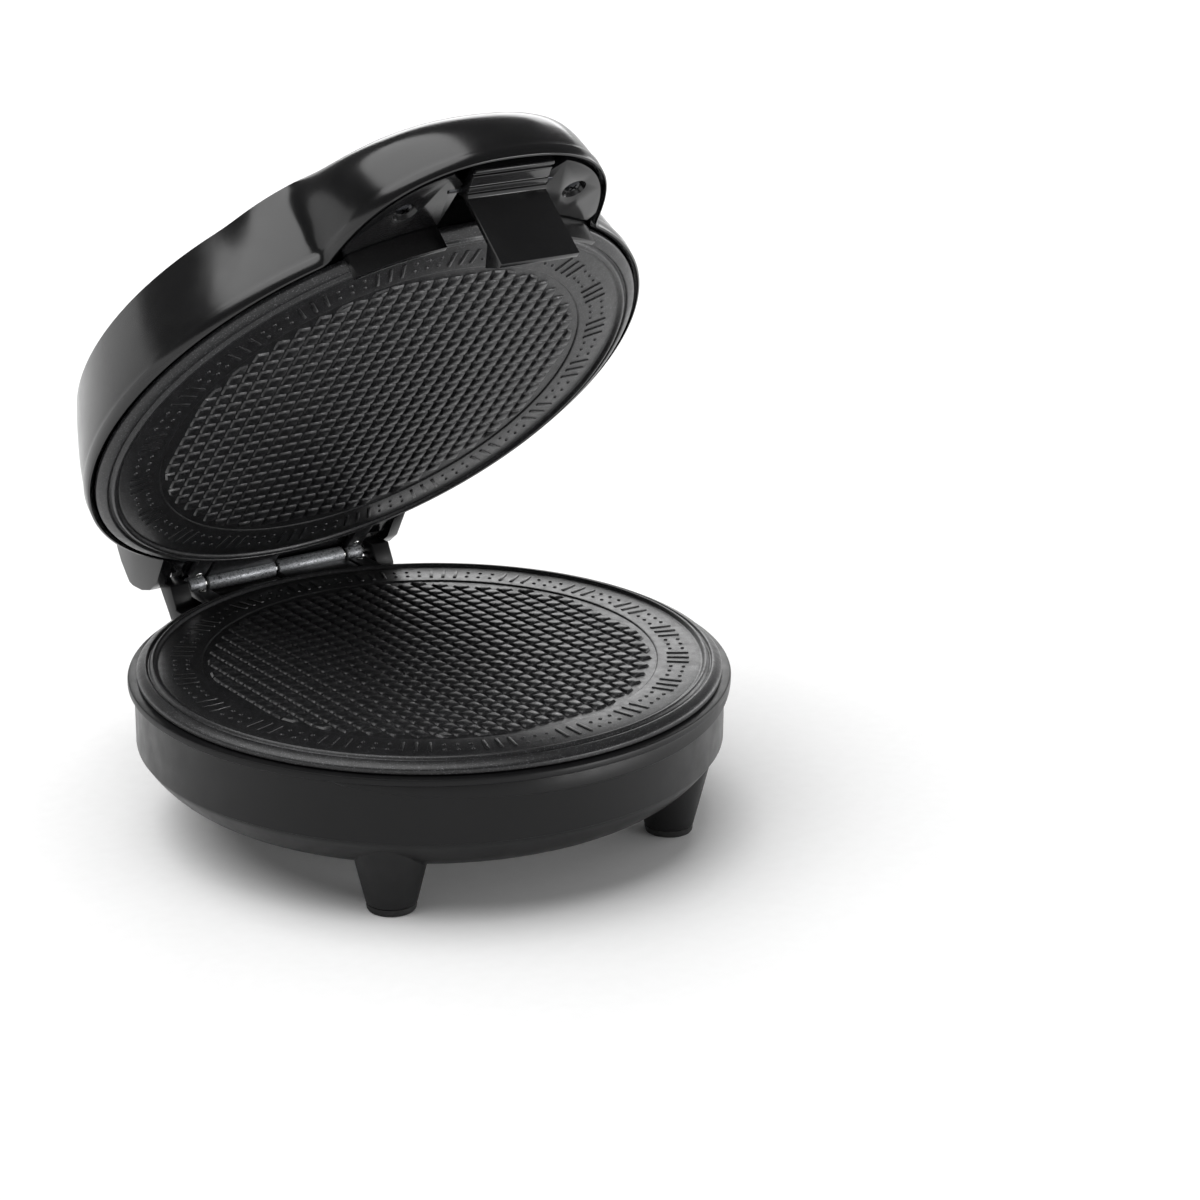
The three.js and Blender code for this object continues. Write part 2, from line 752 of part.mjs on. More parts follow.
function terminalBlock() {
  const low = floorHeight + housingWall + fit;
  const span = [-blockLength / 2, blockLength / 2];
  const middle = plateRadius * blockShare;
  const depth = [middle - blockWidth / 2, middle + blockWidth / 2];
  const body = block(span, depth, [low, low + blockHeight]);
  const pitch = blockLength / blockWires;
  const bores = Array.from({ length: blockWires }, (_, index) => {
    const x = (index - (blockWires - 1) / 2) * pitch;
    const bore = [depth[0] - overrun, depth[1] + overrun];
    return rodY(blockBoreRadius, bore, [x, low + blockHeight / 2], smallRound);
  });
  return cut(body, ...bores);
}

function cordGland() {
  const innerFace = wallRadius - housingWall - glandSag - fit;
  const outerFace = wallRadius + fit;
  const flange = rodY(glandFlangeRadius, [outerFace, outerFace + glandFlangeThickness], [0, glandHeight]);
  const neckSpan = [innerFace - glandNut, outerFace + glandFlangeThickness];
  const neck = rodY(glandNeckRadius, neckSpan, [0, glandHeight]);
  const nut = rodY(glandFlangeRadius, [innerFace - glandNut, innerFace], [0, glandHeight]);
  const reach = [innerFace - glandNut - overrun, outerFace + glandFlangeThickness + overrun];
  return cut(join(flange, neck, nut), rodY(glandBoreRadius, reach, [0, glandHeight]));
}

// Lid shell

// Share of the handle's full reach at an angle from the front: level 0 is the rim, 1 the top.
function handleShare(angle, level) {
  const share = Math.min(Math.abs(angle) / handleHalfAngles[level], 1);
  return (1 - share ** handleFrontPowers[level]) ** handleFlankPowers[level];
}

// Reach of the lid's outline: the front curves over the wall, the flanks run straight up it.
function outlineReach(angle, radius, rise = 0) {
  const turned = rise ** handleRisePower;
  const front = handleShare(angle, 0);
  const flank = handleShare(angle, 1) * flankBulge * rise * (1 - front);
  return radius + front * (handleBulges[0] * (1 - turned) + handleBulges[1] * turned) + flank;
}

// Angles round the lid from rear to rear, closer together across the handle.
function outlineAngles() {
  const [handleSpan] = handleHalfAngles;
  const angles = [];
  for (let step = 0; step < handleSegments; step++) {
    angles.push(handleSpan * ((2 * step) / handleSegments - 1));
  }
  const rest = 2 * (Math.PI - handleSpan);
  for (let step = 0; step < rearSegments; step++) {
    angles.push(handleSpan + (rest * step) / rearSegments);
  }
  return angles;
}

function aroundFront(angle, reach, height) {
  return [reach * Math.sin(angle), -reach * Math.cos(angle), height];
}

function wrapped(angle) {
  return angle > Math.PI ? angle - 2 * Math.PI : angle;
}

// One level of the lid, as a share of its outline at a given radius and rise of the wall.
function lidRing(radius, height, rise = 0, share = 1) {
  return outlineAngles().map((angle) => {
    return aroundFront(angle, share * outlineReach(wrapped(angle), radius, rise), height);
  });
}

// Radius and height part of the way up the wall.
function wallLevel(share) {
  const radius = lidRimRadius - lidBandStep;
  return {
    radius: radius + (lidShoulderRadius - radius) * share ** wallRisePower,
    height: meetHeight + lidBandRise + (lidShoulderRise - lidBandRise) * share,
  };
}

function lidOutside() {
  const rings = [lidRing(lidRimRadius, meetHeight + lidRimRise)];
  rings.push(lidRing(lidRimRadius, meetHeight + lidBandRise));
  for (const share of [0, ...wallLevelShares]) {
    const { radius, height } = wallLevel(share);
    rings.push(lidRing(radius, height, share));
  }
  const shoulder = meetHeight + lidShoulderRise;
  rings.push(lidRing(lidShoulderRadius, shoulder, 1));
  for (const share of crownLevelShares) {
    rings.push(lidRing(lidShoulderRadius, shoulder + crownRise(share), 1, share));
  }
  rings[2] = rings[2].map(([x, y, z]) => [x, y, z + lidBandStep]);
  return loft(rings);
}

function crownRise(share) {
  return lidCrown * (1 - share ** 2);
}

function lidInside() {
  const low = meetHeight - plateDrop;
  const rings = [
    lidRing(lidRimRadius - lidWall, low),
    lidRing(lidRimRadius - lidWall, meetHeight + lidBandRise - lidWall),
  ];
  for (const share of wallLevelShares) {
    const { radius, height } = wallLevel(share);
    rings.push(lidRing(radius - lidWall, height - lidWall, share));
  }
  const shoulder = meetHeight + lidShoulderRise - lidWall;
  rings.push(lidRing(lidShoulderRadius - 2 * lidWall, shoulder, 1));
  for (const share of crownLevelShares) {
    rings.push(lidRing(lidShoulderRadius, shoulder + crownRise(share), 1, share));
  }
  return loft(rings);
}

// Ear behind the lid: an inner part that clears the tower and a cheek outside it.
function lidEar(side) {
  const rear = [
    [earHeelRear, earHeelRise],
    [earRear, earRearRise],
    [earShoulderRear, earShoulderRise],
    [earTopRear, earTopRise],
    [earCrestRear, earCrestRise],
  ];
  const clearArc = [60, 90, 120, 150].map((degrees) => {
    const angle = THREE.MathUtils.degToRad(degrees);
    return [earClearRadius * Math.cos(angle), earClearRadius * Math.sin(angle)];
  });
  const place = ([back, rise]) => [hingeY + back, hingeZ + rise];
  const inner = [
    [-earTopRoot, earCrestRise],
    [-earRoot, earClearRadius / 2],
    ...clearArc.reverse(),
    [earToeRear, earToeRise],
    ...rear,
  ];
  const cheek = [
    [-earTopRoot, earCrestRise],
    [-earRoot, lidRimRise],
    [-cheekFront, cheekFrontRise],
    [0, cheekRise],
    [earToeRear, earToeRise],
    ...rear,
  ];
  const split = towerOuter + earTowerGap;
  return join(
    sidePrism(inner.map(place), ...sideSpan(side, earInner, split + fit)),
    sidePrism(cheek.map(place), ...sideSpan(side, split, earOuter)),
  );
}

function lampPlace(side) {
  return [side * lampReachX, lampInset - plateRadius];
}

// Height of the lid's top over a place in front of the axis.
function lidTopAt([x, y]) {
  const reach = outlineReach(Math.atan2(x, -y), lidShoulderRadius, 1);
  return meetHeight + lidShoulderRise + crownRise(Math.hypot(x, y) / reach);
}

function lidShell() {
  const outside = lidOutside();
  const inside = lidInside();
  const frameTop = meetHeight + frameTopRise();
  const top = meetHeight + lidShoulderRise;
  const handlePosts = bothSides((side) => {
    const low = meetHeight + panelTopRise() + fit;
    return rodZ(handlePostRadius, [side * handleScrewReachX, -handleScrewFront], [low, top]);
  });
  const seatPosts = bothSides((side) => {
    const place = [side * plateRadius * seatPostShares[0], plateRadius * seatPostShares[1]];
    return rodZ(seatPostRadius, place, [frameTop + fit, top]);
  });
  const posts = [...handlePosts, ...seatPosts].map((post) => post.intersect(outside));
  const bores = bothSides((side) => {
    const reach = [meetHeight, handleScrewSeat() + handleScrewLength + fit];
    return rodZ(handleScrewRadius + fit, [side * handleScrewReachX, -handleScrewFront], reach);
  });
  const holeSpan = [top - overrun, top + overrun];
  const lampHoles = bothSides((side) => rodZ(lampBodyRadius + fit, lampPlace(side), holeSpan));
  const ears = bothSides(lidEar);
  return cut(join(cut(join(outside, ...ears), inside), ...posts), ...bores, ...lampHoles);
}

function indicatorLamp(side) {
  const [x, y] = lampPlace(side);
  const seat = lidTopAt([x, y]) + lampTilt;
  return turned([
    [0, seat - lampBodyLength],
    [lampBodyRadius, seat - lampBodyLength],
    [lampBodyRadius, seat],
    [lampHeadRadius, seat],
    [lampHeadRadius, seat + lampHeadHeight / 2],
    [lampHeadRadius / 2, seat + lampHeadHeight],
    [0, seat + lampHeadHeight],
  ], smallRound).translate([x, y, 0]);
}

// Lid frame

function frameLowRise() {
  return shieldDrop + shieldSheet + fit;
}

function frameTopRise() {
  return frameLowRise() + frameTopSheet;
}

function panelTopRise() {
  return panelRise + panelThickness + panelStep;
}

function handleScrewSeat() {
  return meetHeight + panelRise + handleScrewHeadHeight + fit;
}

// Outline of the handle panel between two radii and the handle's front.
function panelOutline(innerRadius) {
  const angles = Array.from({ length: panelSteps + 1 }, (_, step) => {
    return panelHalfAngle * ((2 * step) / panelSteps - 1);
  });
  const front = angles.map((angle) => {
    return aroundFront(angle, outlineReach(angle, lidRimRadius) - panelInset, 0);
  });
  const back = angles.map((angle) => aroundFront(angle, innerRadius, 0)).reverse();
  return [...front, ...back].map(([x, y]) => [x, y]);
}

function lidFrame() {
  const rise = (height) => meetHeight + height;
  const skirtInner = frameSkirtOuter - frameSkirtWall;
  const skirtLow = rise(plateDrop + fit);
  const ring = turned([
    [frameInnerRadius, rise(frameLowRise())],
    [skirtInner, rise(frameLowRise())],
    [skirtInner, skirtLow],
    [frameSkirtOuter, skirtLow],
    [frameSkirtOuter, rise(frameTopRise())],
    [frameInnerRadius, rise(frameTopRise())],
  ]);
  const panelLow = rise(panelRise);
  const panelTop = rise(panelTopRise());
  const outer = prism(panelOutline(plateRadius + hingeReach / 2), panelLow, panelTop);
  const inner = prism(panelOutline(skirtInner + fit), skirtLow, panelTop);
  const pivotZ = rise(latchPivotRise);
  const latchSide = latchHalfWidth + latchSideGap;
  const cheeks = bothSides((side) => {
    const span = sideSpan(side, latchSide, latchSide + cheekPlateThickness);
    const depth = [-latchPivotFront - cheekPlateDepth, -latchPivotFront + cheekPlateDepth];
    return block(span, depth, [panelLow, pivotZ + cheekPlateRise]);
  });
  const window = latchWindow(latchSide, [flangeTop, panelTop + overrun]);
  const boreSpan = [-handleScrewReachX, handleScrewReachX];
  const pinBore = rodX(latchPinRadius + fit, boreSpan, [-latchPivotFront, pivotZ]);
  const screwBores = plateBossPlaces.map((place) => {
    return rodZ(plateScrewRadius + fit, place, [rise(bossDrop), rise(frameTopRise()) + overrun]);
  });
  const handleBores = bothSides((side) => {
    return handleScrewBore([side * handleScrewReachX, -handleScrewFront]);
  });
  const panel = cut(join(outer, inner, frameGuard(panelTop)), window);
  return cut(join(ring, panel, ...cheeks), pinBore, ...screwBores, ...handleBores);
}

// A curved wall that hangs from the panel in front of the plates and keeps fingers off them.
function frameGuard(top) {
  const half = panelHalfAngle;
  const front = -Math.PI / 2;
  const inner = plateRadius + guardGap;
  const low = flangeTop + guardLift;
  const sector = (halfAngle, bottom) => {
    const shape = new THREE.Shape();
    shape.absarc(0, 0, inner + guardWall, front - halfAngle, front + halfAngle, false);
    shape.absarc(0, 0, inner, front + halfAngle, front - halfAngle, true);
    const settings = { depth: top - bottom, bevelEnabled: false, curveSegments: smallRound };
    return solid(new THREE.ExtrudeGeometry(shape, settings).translate(0, 0, bottom));
  };
  const step = guardCorner / inner;
  return join(
    sector(half, low + guardCorner),
    sector(half - step / 4, low + guardCorner / 3),
    sector(half - step, low),
  );
}

// The opening that the latch swings in, wider at the handle's front.
function latchWindow(side, span) {
  const flareStart = -latchPivotFront - cheekPlateDepth - fit;
  const flareEnd = flareStart - windowFlare;
  const right = [
    [side, -plateRadius - fit],
    [side, flareStart],
    [side + windowFlare, flareEnd],
    [side + windowFlare, -latchPivotFront - handleBulges[0]],
  ];
  const left = right.map(([x, y]) => [-x, y]).reverse();
  return prism([...left, ...right], ...span);
}

// A bore for the shank and a recess for the head, from below.
function handleScrewBore(place) {
  const seat = handleScrewSeat();
  const shank = rodZ(handleScrewRadius + fit, place, [seat - overrun, seat + overrun]);
  const head = rodZ(handleScrewHeadRadius + fit, place, [meetHeight, seat], midRound);
  return join(shank, head);
}

function handleScrew(side) {
  const seat = handleScrewSeat() - fit;
  const length = handleScrewLength;
  const body = screw(handleScrewRadius, length, handleScrewHeadRadius, handleScrewHeadHeight);
  return body.translate([side * handleScrewReachX, -handleScrewFront, seat]);
}

// Screws that clamp frame and heat shield on the upper plate, with their shanks pointing down.
function upperPlateScrew(place) {
  const seat = frameTopRise() + fit;
  const length = seat - bossBoreDrop - fit;
  const body = screw(plateScrewRadius, length, plateScrewHeadRadius, plateScrewHeadHeight);
  return body.rotate([180, 0, 0]).translate([...place, meetHeight + seat]);
}

// Latch

// Ribbed finger tab in front, flap and hook hanging behind it, all round one pivot.
function latch() {
  const pivot = [-latchPivotFront, meetHeight + latchPivotRise];
  const at = ([back, rise]) => [pivot[0] + back, pivot[1] + rise];
  const width = [-latchHalfWidth, latchHalfWidth];
  const tabLow = latchTabTop - latchTabThickness;
  const half = latchFlapThickness / 2;
  const tab = [
    [-latchTabFront, latchTabTop],
    [-latchTabFront, tabLow],
    [-half, -latchFoldDrop],
    [half, -latchFoldDrop],
    [half, latchTabThickness - latchFoldDrop],
  ];
  const flap = [
    [-half, 0],
    [-half, -latchFlapDrop],
    [half, -latchFlapDrop],
    [latchHookReach, -latchHookDrop],
    [half, -latchHookTop],
    [half, 0],
  ];
  const slope = new THREE.Vector2(latchTabFront - half, -latchFoldDrop - tabLow);
  const along = slope.clone().normalize();
  const down = new THREE.Vector2(along.y, -along.x);
  const ribs = latchRibShares.map((share) => {
    const start = new THREE.Vector2(-latchTabFront, tabLow).addScaledVector(slope, share);
    const corners = [
      [0, -half],
      [0, latchRibHeight],
      [latchRibWidth, latchRibHeight],
      [latchRibWidth, -half],
    ];
    const outline = corners.map(([run, drop]) => {
      return start.clone().addScaledVector(along, run).addScaledVector(down, drop).toArray();
    });
    return sidePrism(outline.map(at), ...width);
  });
  const hub = rodX(latchHubRadius, width, pivot);
  const body = join(hub, sidePrism(tab.map(at), ...width), sidePrism(flap.map(at), ...width), ...ribs);
  return cut(body, rodX(latchPinRadius + fit, [width[0] - overrun, width[1] + overrun], pivot));
}

function latchPin() {
  const reach = latchHalfWidth + latchSideGap + cheekPlateThickness;
  return rodX(latchPinRadius, [-reach, reach], [-latchPivotFront, meetHeight + latchPivotRise], smallRound);
}

function hingePin() {
  const reach = towerOuter - towerPinEnd;
  return rodX(hingePinRadius, [-reach, reach], [hingeY, hingeZ], smallRound);
}

// Assembly

const corner = ["rear_right", "rear_left", "front_left", "front_right"];
const sideName = (side) => (side < 0 ? "left" : "right");
const plate = bakingPlate();
const element = heatingElement();
const shield = heatShield();

function baseOf(name, body, look) {
  return piece(name, body.translate([0, 0, meetHeight]), look);
}

function lidOf(name, body, look) {
  return piece(name, flipped(body).translate([0, 0, meetHeight]), look);
}

const base = new THREE.Group();
base.add(piece("lower_housing", lowerHousing(), satinPlastic));
plateBossPlaces.forEach((place, index) => {
  base.add(piece(`leg_${corner[index]}`, leg(place), legPlastic));
  base.add(piece(`foot_pad_${corner[index]}`, footPad(place), rubber));
  base.add(piece(`leg_screw_${corner[index]}`, legScrew(place), brightSteel));
});
base.add(baseOf("lower_plate", plate, castNonStick));
base.add(baseOf("lower_heating_element", element, elementSteel));
base.add(baseOf("lower_heat_shield", shield, sheetSteel));
base.add(baseOf("thermostat", thermostat(), sheetSteel));
base.add(baseOf("lower_thermal_fuse", thermalFuse(), ceramic));
base.add(baseOf("lower_fuse_clip", fuseClip(), sheetSteel));
for (const side of [-1, 1]) {
  base.add(baseOf(`thermostat_screw_${sideName(side)}`, strapScrew(side, 0), brightSteel));
  base.add(baseOf(`lower_clip_screw_${sideName(side)}`, strapScrew(side, fusePlace), brightSteel));
  base.add(baseOf(`lower_lug_rivet_${sideName(side)}`, lugRivet(side), brightSteel));
}
base.add(piece("terminal_block", terminalBlock(), ceramic));
base.add(piece("cord_gland", cordGland(), legPlastic));
base.add(piece("hinge_pin", hingePin(), brightSteel));

const closedLid = new THREE.Group();
closedLid.position.set(0, -hingeY, -hingeZ);
closedLid.add(piece("lid_shell", lidShell(), glossPlastic));
closedLid.add(piece("lid_frame", lidFrame(), innerPlastic));
closedLid.add(lidOf("upper_plate", plate, castNonStick));
closedLid.add(lidOf("upper_heating_element", element, elementSteel));
closedLid.add(lidOf("upper_heat_shield", shield, sheetSteel));
closedLid.add(lidOf("upper_thermal_fuse", thermalFuse(), ceramic));
closedLid.add(lidOf("upper_fuse_clip", fuseClip(), sheetSteel));
plateBossPlaces.forEach((place, index) => {
  closedLid.add(piece(`upper_plate_screw_${corner[index]}`, upperPlateScrew(place), brightSteel));
});
for (const side of [-1, 1]) {
  closedLid.add(lidOf(`upper_clip_screw_${sideName(-side)}`, strapScrew(side, fusePlace), brightSteel));
  closedLid.add(lidOf(`upper_lug_rivet_${sideName(-side)}`, lugRivet(side), brightSteel));
  closedLid.add(piece(`handle_screw_${sideName(side)}`, handleScrew(side), brightSteel));
}
closedLid.add(piece("power_lamp", indicatorLamp(-1), redLens));
closedLid.add(piece("ready_lamp", indicatorLamp(1), greenLens));
closedLid.add(piece("latch_pin", latchPin(), brightSteel));
closedLid.add(piece("latch", latch(), innerPlastic));

const lid = new THREE.Group();
lid.position.set(0, hingeY, hingeZ);
lid.rotation.x = -lidOpen;
lid.add(closedLid);

// The origin lies under the middle of the open appliance.
const stroopwafelMaker = new THREE.Group();
stroopwafelMaker.position.y = (flangeRadius - rearReach) / 2;
stroopwafelMaker.add(base, lid);

export default stroopwafelMaker;
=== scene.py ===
"""A stroopwafel maker standing open: smooth pieces, procedural finishes and a plain studio.

Pieces are modelled closed, in millimetres round the plates' common axis, as the solids are,
and are then placed in metres on the base, the swung lid or the latch.
"""

import json
import math

import bmesh
import bpy
from bpy.props import FloatProperty, FloatVectorProperty, PointerProperty
from mathutils import Matrix, Vector

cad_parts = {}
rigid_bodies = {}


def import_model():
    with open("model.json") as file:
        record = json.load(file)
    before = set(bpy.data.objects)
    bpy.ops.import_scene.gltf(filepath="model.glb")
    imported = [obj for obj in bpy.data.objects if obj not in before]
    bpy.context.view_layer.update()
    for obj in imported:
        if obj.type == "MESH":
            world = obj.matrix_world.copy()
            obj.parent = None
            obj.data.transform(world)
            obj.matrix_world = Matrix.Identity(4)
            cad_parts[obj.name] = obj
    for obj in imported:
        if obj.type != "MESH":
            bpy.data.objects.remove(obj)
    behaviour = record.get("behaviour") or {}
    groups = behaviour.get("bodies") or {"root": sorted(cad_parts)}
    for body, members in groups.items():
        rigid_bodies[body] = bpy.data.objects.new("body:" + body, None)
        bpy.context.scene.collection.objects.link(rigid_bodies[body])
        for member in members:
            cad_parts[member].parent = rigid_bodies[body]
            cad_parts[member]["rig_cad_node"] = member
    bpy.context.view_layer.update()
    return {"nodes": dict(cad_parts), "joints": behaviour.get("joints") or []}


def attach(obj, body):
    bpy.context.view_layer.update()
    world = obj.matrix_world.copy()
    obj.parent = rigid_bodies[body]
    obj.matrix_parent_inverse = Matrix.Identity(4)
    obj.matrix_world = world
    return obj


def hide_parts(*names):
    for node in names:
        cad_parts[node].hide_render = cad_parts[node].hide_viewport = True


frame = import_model()

bl_info = {
    "name": "Stroopwafel maker",
    "version": (1, 0, 0),
    "blender": (4, 5, 0),
    "location": "3D View > Sidebar > Stroopwafel Maker",
    "description": "Builds the dressed stroopwafel maker over its solids",
    "category": "Object",
}

MM = 0.001
WELD = 0.002  # points nearer than this, in millimetres, are one point
HINGE = Vector(next(j for j in frame["joints"] if j["name"] == "lid_hinge")["pos_m"])
LID_OPEN = math.radians(47.7)

# Places in millimetres: height above the bench, distance from the plates' axis
MEET = 66.0
HINGE_REACH = 122.0
WALL_R = 116.0
FLANGE_R = 118.5
FLANGE_TOP = 60.5
BOWL_FLOOR = 17.5
BOWL_WALL = 2.6
LID_R = 118.0
LID_RIM = 70.0
LID_BAND_STEP = 0.7
LID_BAND_TOP = 75.4
LID_SHOULDER = 108.2
LID_LEAN = 10.4
LID_CROWN = 3.6
FRAME_LOW, FRAME_HIGH = 71.5, 83.5
PANEL_LOW = 70.4
TOWER_FACES = (44.5, 53)
BARREL_R = 3.6
LUG_LOW, LUG_HIGH = 62.4, 65.1
LUG_RIVET = (38.25, 115.8)
HANDLE_SCREW = (36.8, -128)
PANEL_HALF_ANGLE = math.radians(27)
WINDOW_HALF = 18.3
LATCH_PIVOT = Vector((-137, 71.5))
LAMP_SIDE, LAMP_FORWARD = 11, -86
GLAND_HEIGHT = 46
BOSSES = [(sx * 64.4, sy * 72.3) for sx, sy in ((1, 1), (-1, 1), (-1, -1), (1, -1))]
CORNERS = ["rear_right", "rear_left", "front_left", "front_right"]

# Stage, in metres
STAGE_RADIUS = 6
WALL_HEIGHT = 1.7

# Outline of the handle: its front bulge at the rim and at the top, and the flanks that run up the wall
FRONT_HALF_ANGLE = math.radians(30.6)
FLANK_HALF_ANGLE = math.radians(45)
FRONT_TOP_REACH = 7
FLANK_TOP_REACH = 9.1
FRONT_TURN_POWER = 5.3
WALL_LEAN_POWER = 1.3


def placing():
    """Matrices that take closed millimetres to the row's metres, by body."""
    base = Matrix.Translation((0, HINGE.y - HINGE_REACH * MM, 0)) @ Matrix.Scale(MM, 4)
    swing = Matrix.Rotation(-LID_OPEN, 4, "X")
    swing = Matrix.Translation(HINGE) @ swing @ Matrix.Translation(-HINGE)
    return {"base": base, "lid": swing @ base, "latch": swing @ base}


def flipping():
    """A half turn about the plane where the plates meet, from the lower plate to the upper one."""
    up = Matrix.Translation((0, 0, MEET))
    return up @ Matrix.Rotation(math.pi, 4, "Y") @ up.inverted()


PLACING = placing()
FLIP = flipping()


def linear(code):
    """An sRGB hex colour as linear red, green and blue."""
    channels = [int(code[i : i + 2], 16) / 255 for i in (1, 3, 5)]
    return [c / 12.92 if c <= 0.04045 else ((c + 0.055) / 1.055) ** 2.4 for c in channels]


def length(name, description, default):
    return FloatProperty(
        name=name, description=description, default=default, min=0, unit="LENGTH", precision=4
    )


def colour(name, description, code):
    return FloatVectorProperty(
        name=name, description=description, default=linear(code), min=0, max=1, subtype="COLOR"
    )


class ApplianceSizes(bpy.types.PropertyGroup):
    """Sizes that shape the pieces over the solids."""

    pad_pitch: length("Pad pitch", "Spacing of the raised pads in the plates", 0.0065)
    pad_base: length("Pad base", "Width of a pad at its foot", 0.0058)
    pad_top: length("Pad top", "Width of a pad at its top", 0.0044)
    pad_rise: length("Pad rise", "Height of a pad", 0.0009)
    lid_wall: length("Lid wall", "Thickness of the lid shell", 0.0024)
    handle_reach: length("Handle reach", "Reach of the handle beyond the round rim", 0.0364)
    moulded_edge: length("Moulded edge", "Rounding of moulded edges", 0.0007)


class ApplianceColours(bpy.types.PropertyGroup):
    """Colours of the finishes."""

    housing: colour("Housing", "Satin plastic of the base", "#0d0d0e")
    lid: colour("Lid", "Polished plastic of the lid", "#0b0b0c")
    handle: colour("Handle", "Semi-gloss plastic under the handle", "#0d0d0e")
    legs: colour("Legs", "Matt plastic of the legs", "#101011")
    coating: colour("Coating", "Non-stick coating of the plates", "#1b1b1c")
    barrel: colour("Hinge metal", "Bare casting of the barrels", "#9a9c9f")
    rubber: colour("Foot pads", "Rubber under the legs", "#131313")
    power_lens: colour("Power lamp", "Lens of the power lamp", "#b3190f")
    ready_lens: colour("Ready lamp", "Lens of the ready lamp", "#1c8a3a")


def sizes():
    return bpy.context.scene.appliance_sizes


def colours():
    return bpy.context.scene.appliance_colours


# Modelling


def deselect():
    if bpy.context.mode != "OBJECT":
        bpy.ops.object.mode_set(mode="OBJECT")
    bpy.ops.object.select_all(action="DESELECT")


def choose(*pieces):
    """Selects only these pieces; the first is active."""
    deselect()
    for piece in pieces:
        piece.select_set(True)
    bpy.context.view_layer.objects.active = pieces[0]
    return pieces[0]


def edit(piece):
    choose(piece)
    bpy.ops.object.mode_set(mode="EDIT")
    bpy.ops.mesh.select_all(action="SELECT")


def named(name):
    piece = bpy.context.object
    piece.name = name
    piece.data.name = name
    return piece


def sound(piece):
    """Merges doubles and turns the faces outwards."""
    edit(piece)
    bpy.ops.mesh.remove_doubles(threshold=WELD)
    bpy.ops.mesh.normals_make_consistent(inside=False)
    deselect()
    return piece


def chain(name, points):
    """A string of edges, drawn from a single vertex by extruding it from point to point."""
    deselect()
    bpy.ops.mesh.primitive_plane_add(size=1)
    piece = named(name)
    edit(piece)
    bpy.ops.mesh.merge(type="CENTER")
    bpy.ops.transform.translate(value=points[0])
    for start, end in zip(points, points[1:]):
        step = Vector(end) - Vector(start)
        bpy.ops.mesh.extrude_region_move(TRANSFORM_OT_translate={"value": step})
    bpy.ops.mesh.select_all(action="SELECT")
    return piece


ALONG = {
    "X": (lambda r, h: (h, r, 0), (1, 0, 0)),
    "Y": (lambda r, h: (r, h, 0), (0, 1, 0)),
    "Z": (lambda r, h: (r, 0, h), (0, 0, 1)),
}


def turned(name, profile, steps=96, axis="Z", centre=(0, 0, 0)):
    """A profile of (radius, height) spun round an axis into a closed body."""
    point, direction = ALONG[axis]
    ends = profile if profile[0][0] == profile[-1][0] == 0 else [*profile, profile[0]]
    piece = chain(name, [point(r, h) for r, h in ends])
    bpy.ops.mesh.spin(steps=steps, angle=math.tau, center=(0, 0, 0), axis=direction)
    bpy.ops.mesh.select_all(action="SELECT")
    bpy.ops.transform.translate(value=centre)
    return sound(piece)


def prism(name, outline, low, high, axis="Z"):
    """A flat outline filled with a face and extruded along an axis."""
    lift = {"X": lambda a, b, h: (h, a, b), "Z": lambda a, b, h: (a, b, h)}[axis]
    piece = chain(name, [lift(a, b, low) for a, b in [*outline, outline[0]]])
    bpy.ops.mesh.remove_doubles(threshold=WELD)
    bpy.ops.mesh.edge_face_add()
    bpy.ops.mesh.extrude_region_move(TRANSFORM_OT_translate={"value": lift(0, 0, high - low)})
    return sound(piece)


def at_hinge(outline):
    """Points given from the hinge axis, rearwards and up, as seen from the side."""
    return [(HINGE_REACH + back, MEET + rise) for back, rise in outline]


def block(name, size, place, turn=0.0):
    """A box of a size, turned about the vertical."""
    deselect()
    bpy.ops.mesh.primitive_cube_add(size=1, location=place, rotation=(0, 0, turn))
    piece = named(name)
    piece.scale = size
    bpy.ops.object.transform_apply(location=True, rotation=True, scale=True)
    return piece


def modified(piece, kind, **settings):
    """Adds a modifier, sets it and applies it."""
    choose(piece)
    bpy.ops.object.modifier_add(type=kind)
    modifier = piece.modifiers[-1]
    for setting, value in settings.items():
        setattr(modifier, setting, value)
    bpy.ops.object.modifier_apply(modifier=modifier.name)
    return piece


def rounded(piece, width, segments=2, angle=35):
    """Bevels the edges that are sharper than an angle in degrees."""
    return modified(
        piece,
        "BEVEL",
        width=width,
        segments=segments,
        limit_method="ANGLE",
        angle_limit=math.radians(angle),
        use_clamp_overlap=True,
    )


def combined(piece, tool, operation):
    """Cuts the piece by the tool, or joins the two, and takes the tool away."""
    modified(piece, "BOOLEAN", operation=operation, object=tool, solver="EXACT")
    bpy.data.objects.remove(tool)
    return piece


def joined(name, pieces):
    choose(*pieces)
    bpy.ops.object.join()
    return named(name)


def copied(piece, name):
    choose(piece)
    bpy.ops.object.duplicate(linked=False)
    return named(name)


def spun_copies(piece, count, degrees):
    """Repeats all of a piece round the plates' axis, a number of times at equal steps."""
    edit(piece)
    turn = math.radians(degrees * (count - 1))
    bpy.ops.mesh.spin(steps=count - 1, dupli=True, angle=turn, center=(0, 0, 0), axis=(0, 0, 1))
    deselect()
    return piece


def settle(piece, body, finish, *nodes, flip=False, angle=32):
    """Places a finished piece, gives it its material and hands it to its body."""
    choose(piece)
    piece.matrix_world = PLACING[body] @ (FLIP if flip else Matrix())
    bpy.ops.object.transform_apply(location=True, rotation=True, scale=True)
    bpy.ops.object.shade_smooth_by_angle(angle=math.radians(angle))
    dress(piece, finish)
    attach(piece, body)
    if nodes:
        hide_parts(*nodes)
    return piece


def dress(piece, finish):
    material, slot = FINISHES[finish]
    piece.data.materials.clear()
    piece.data.materials.append(bpy.data.materials[material])


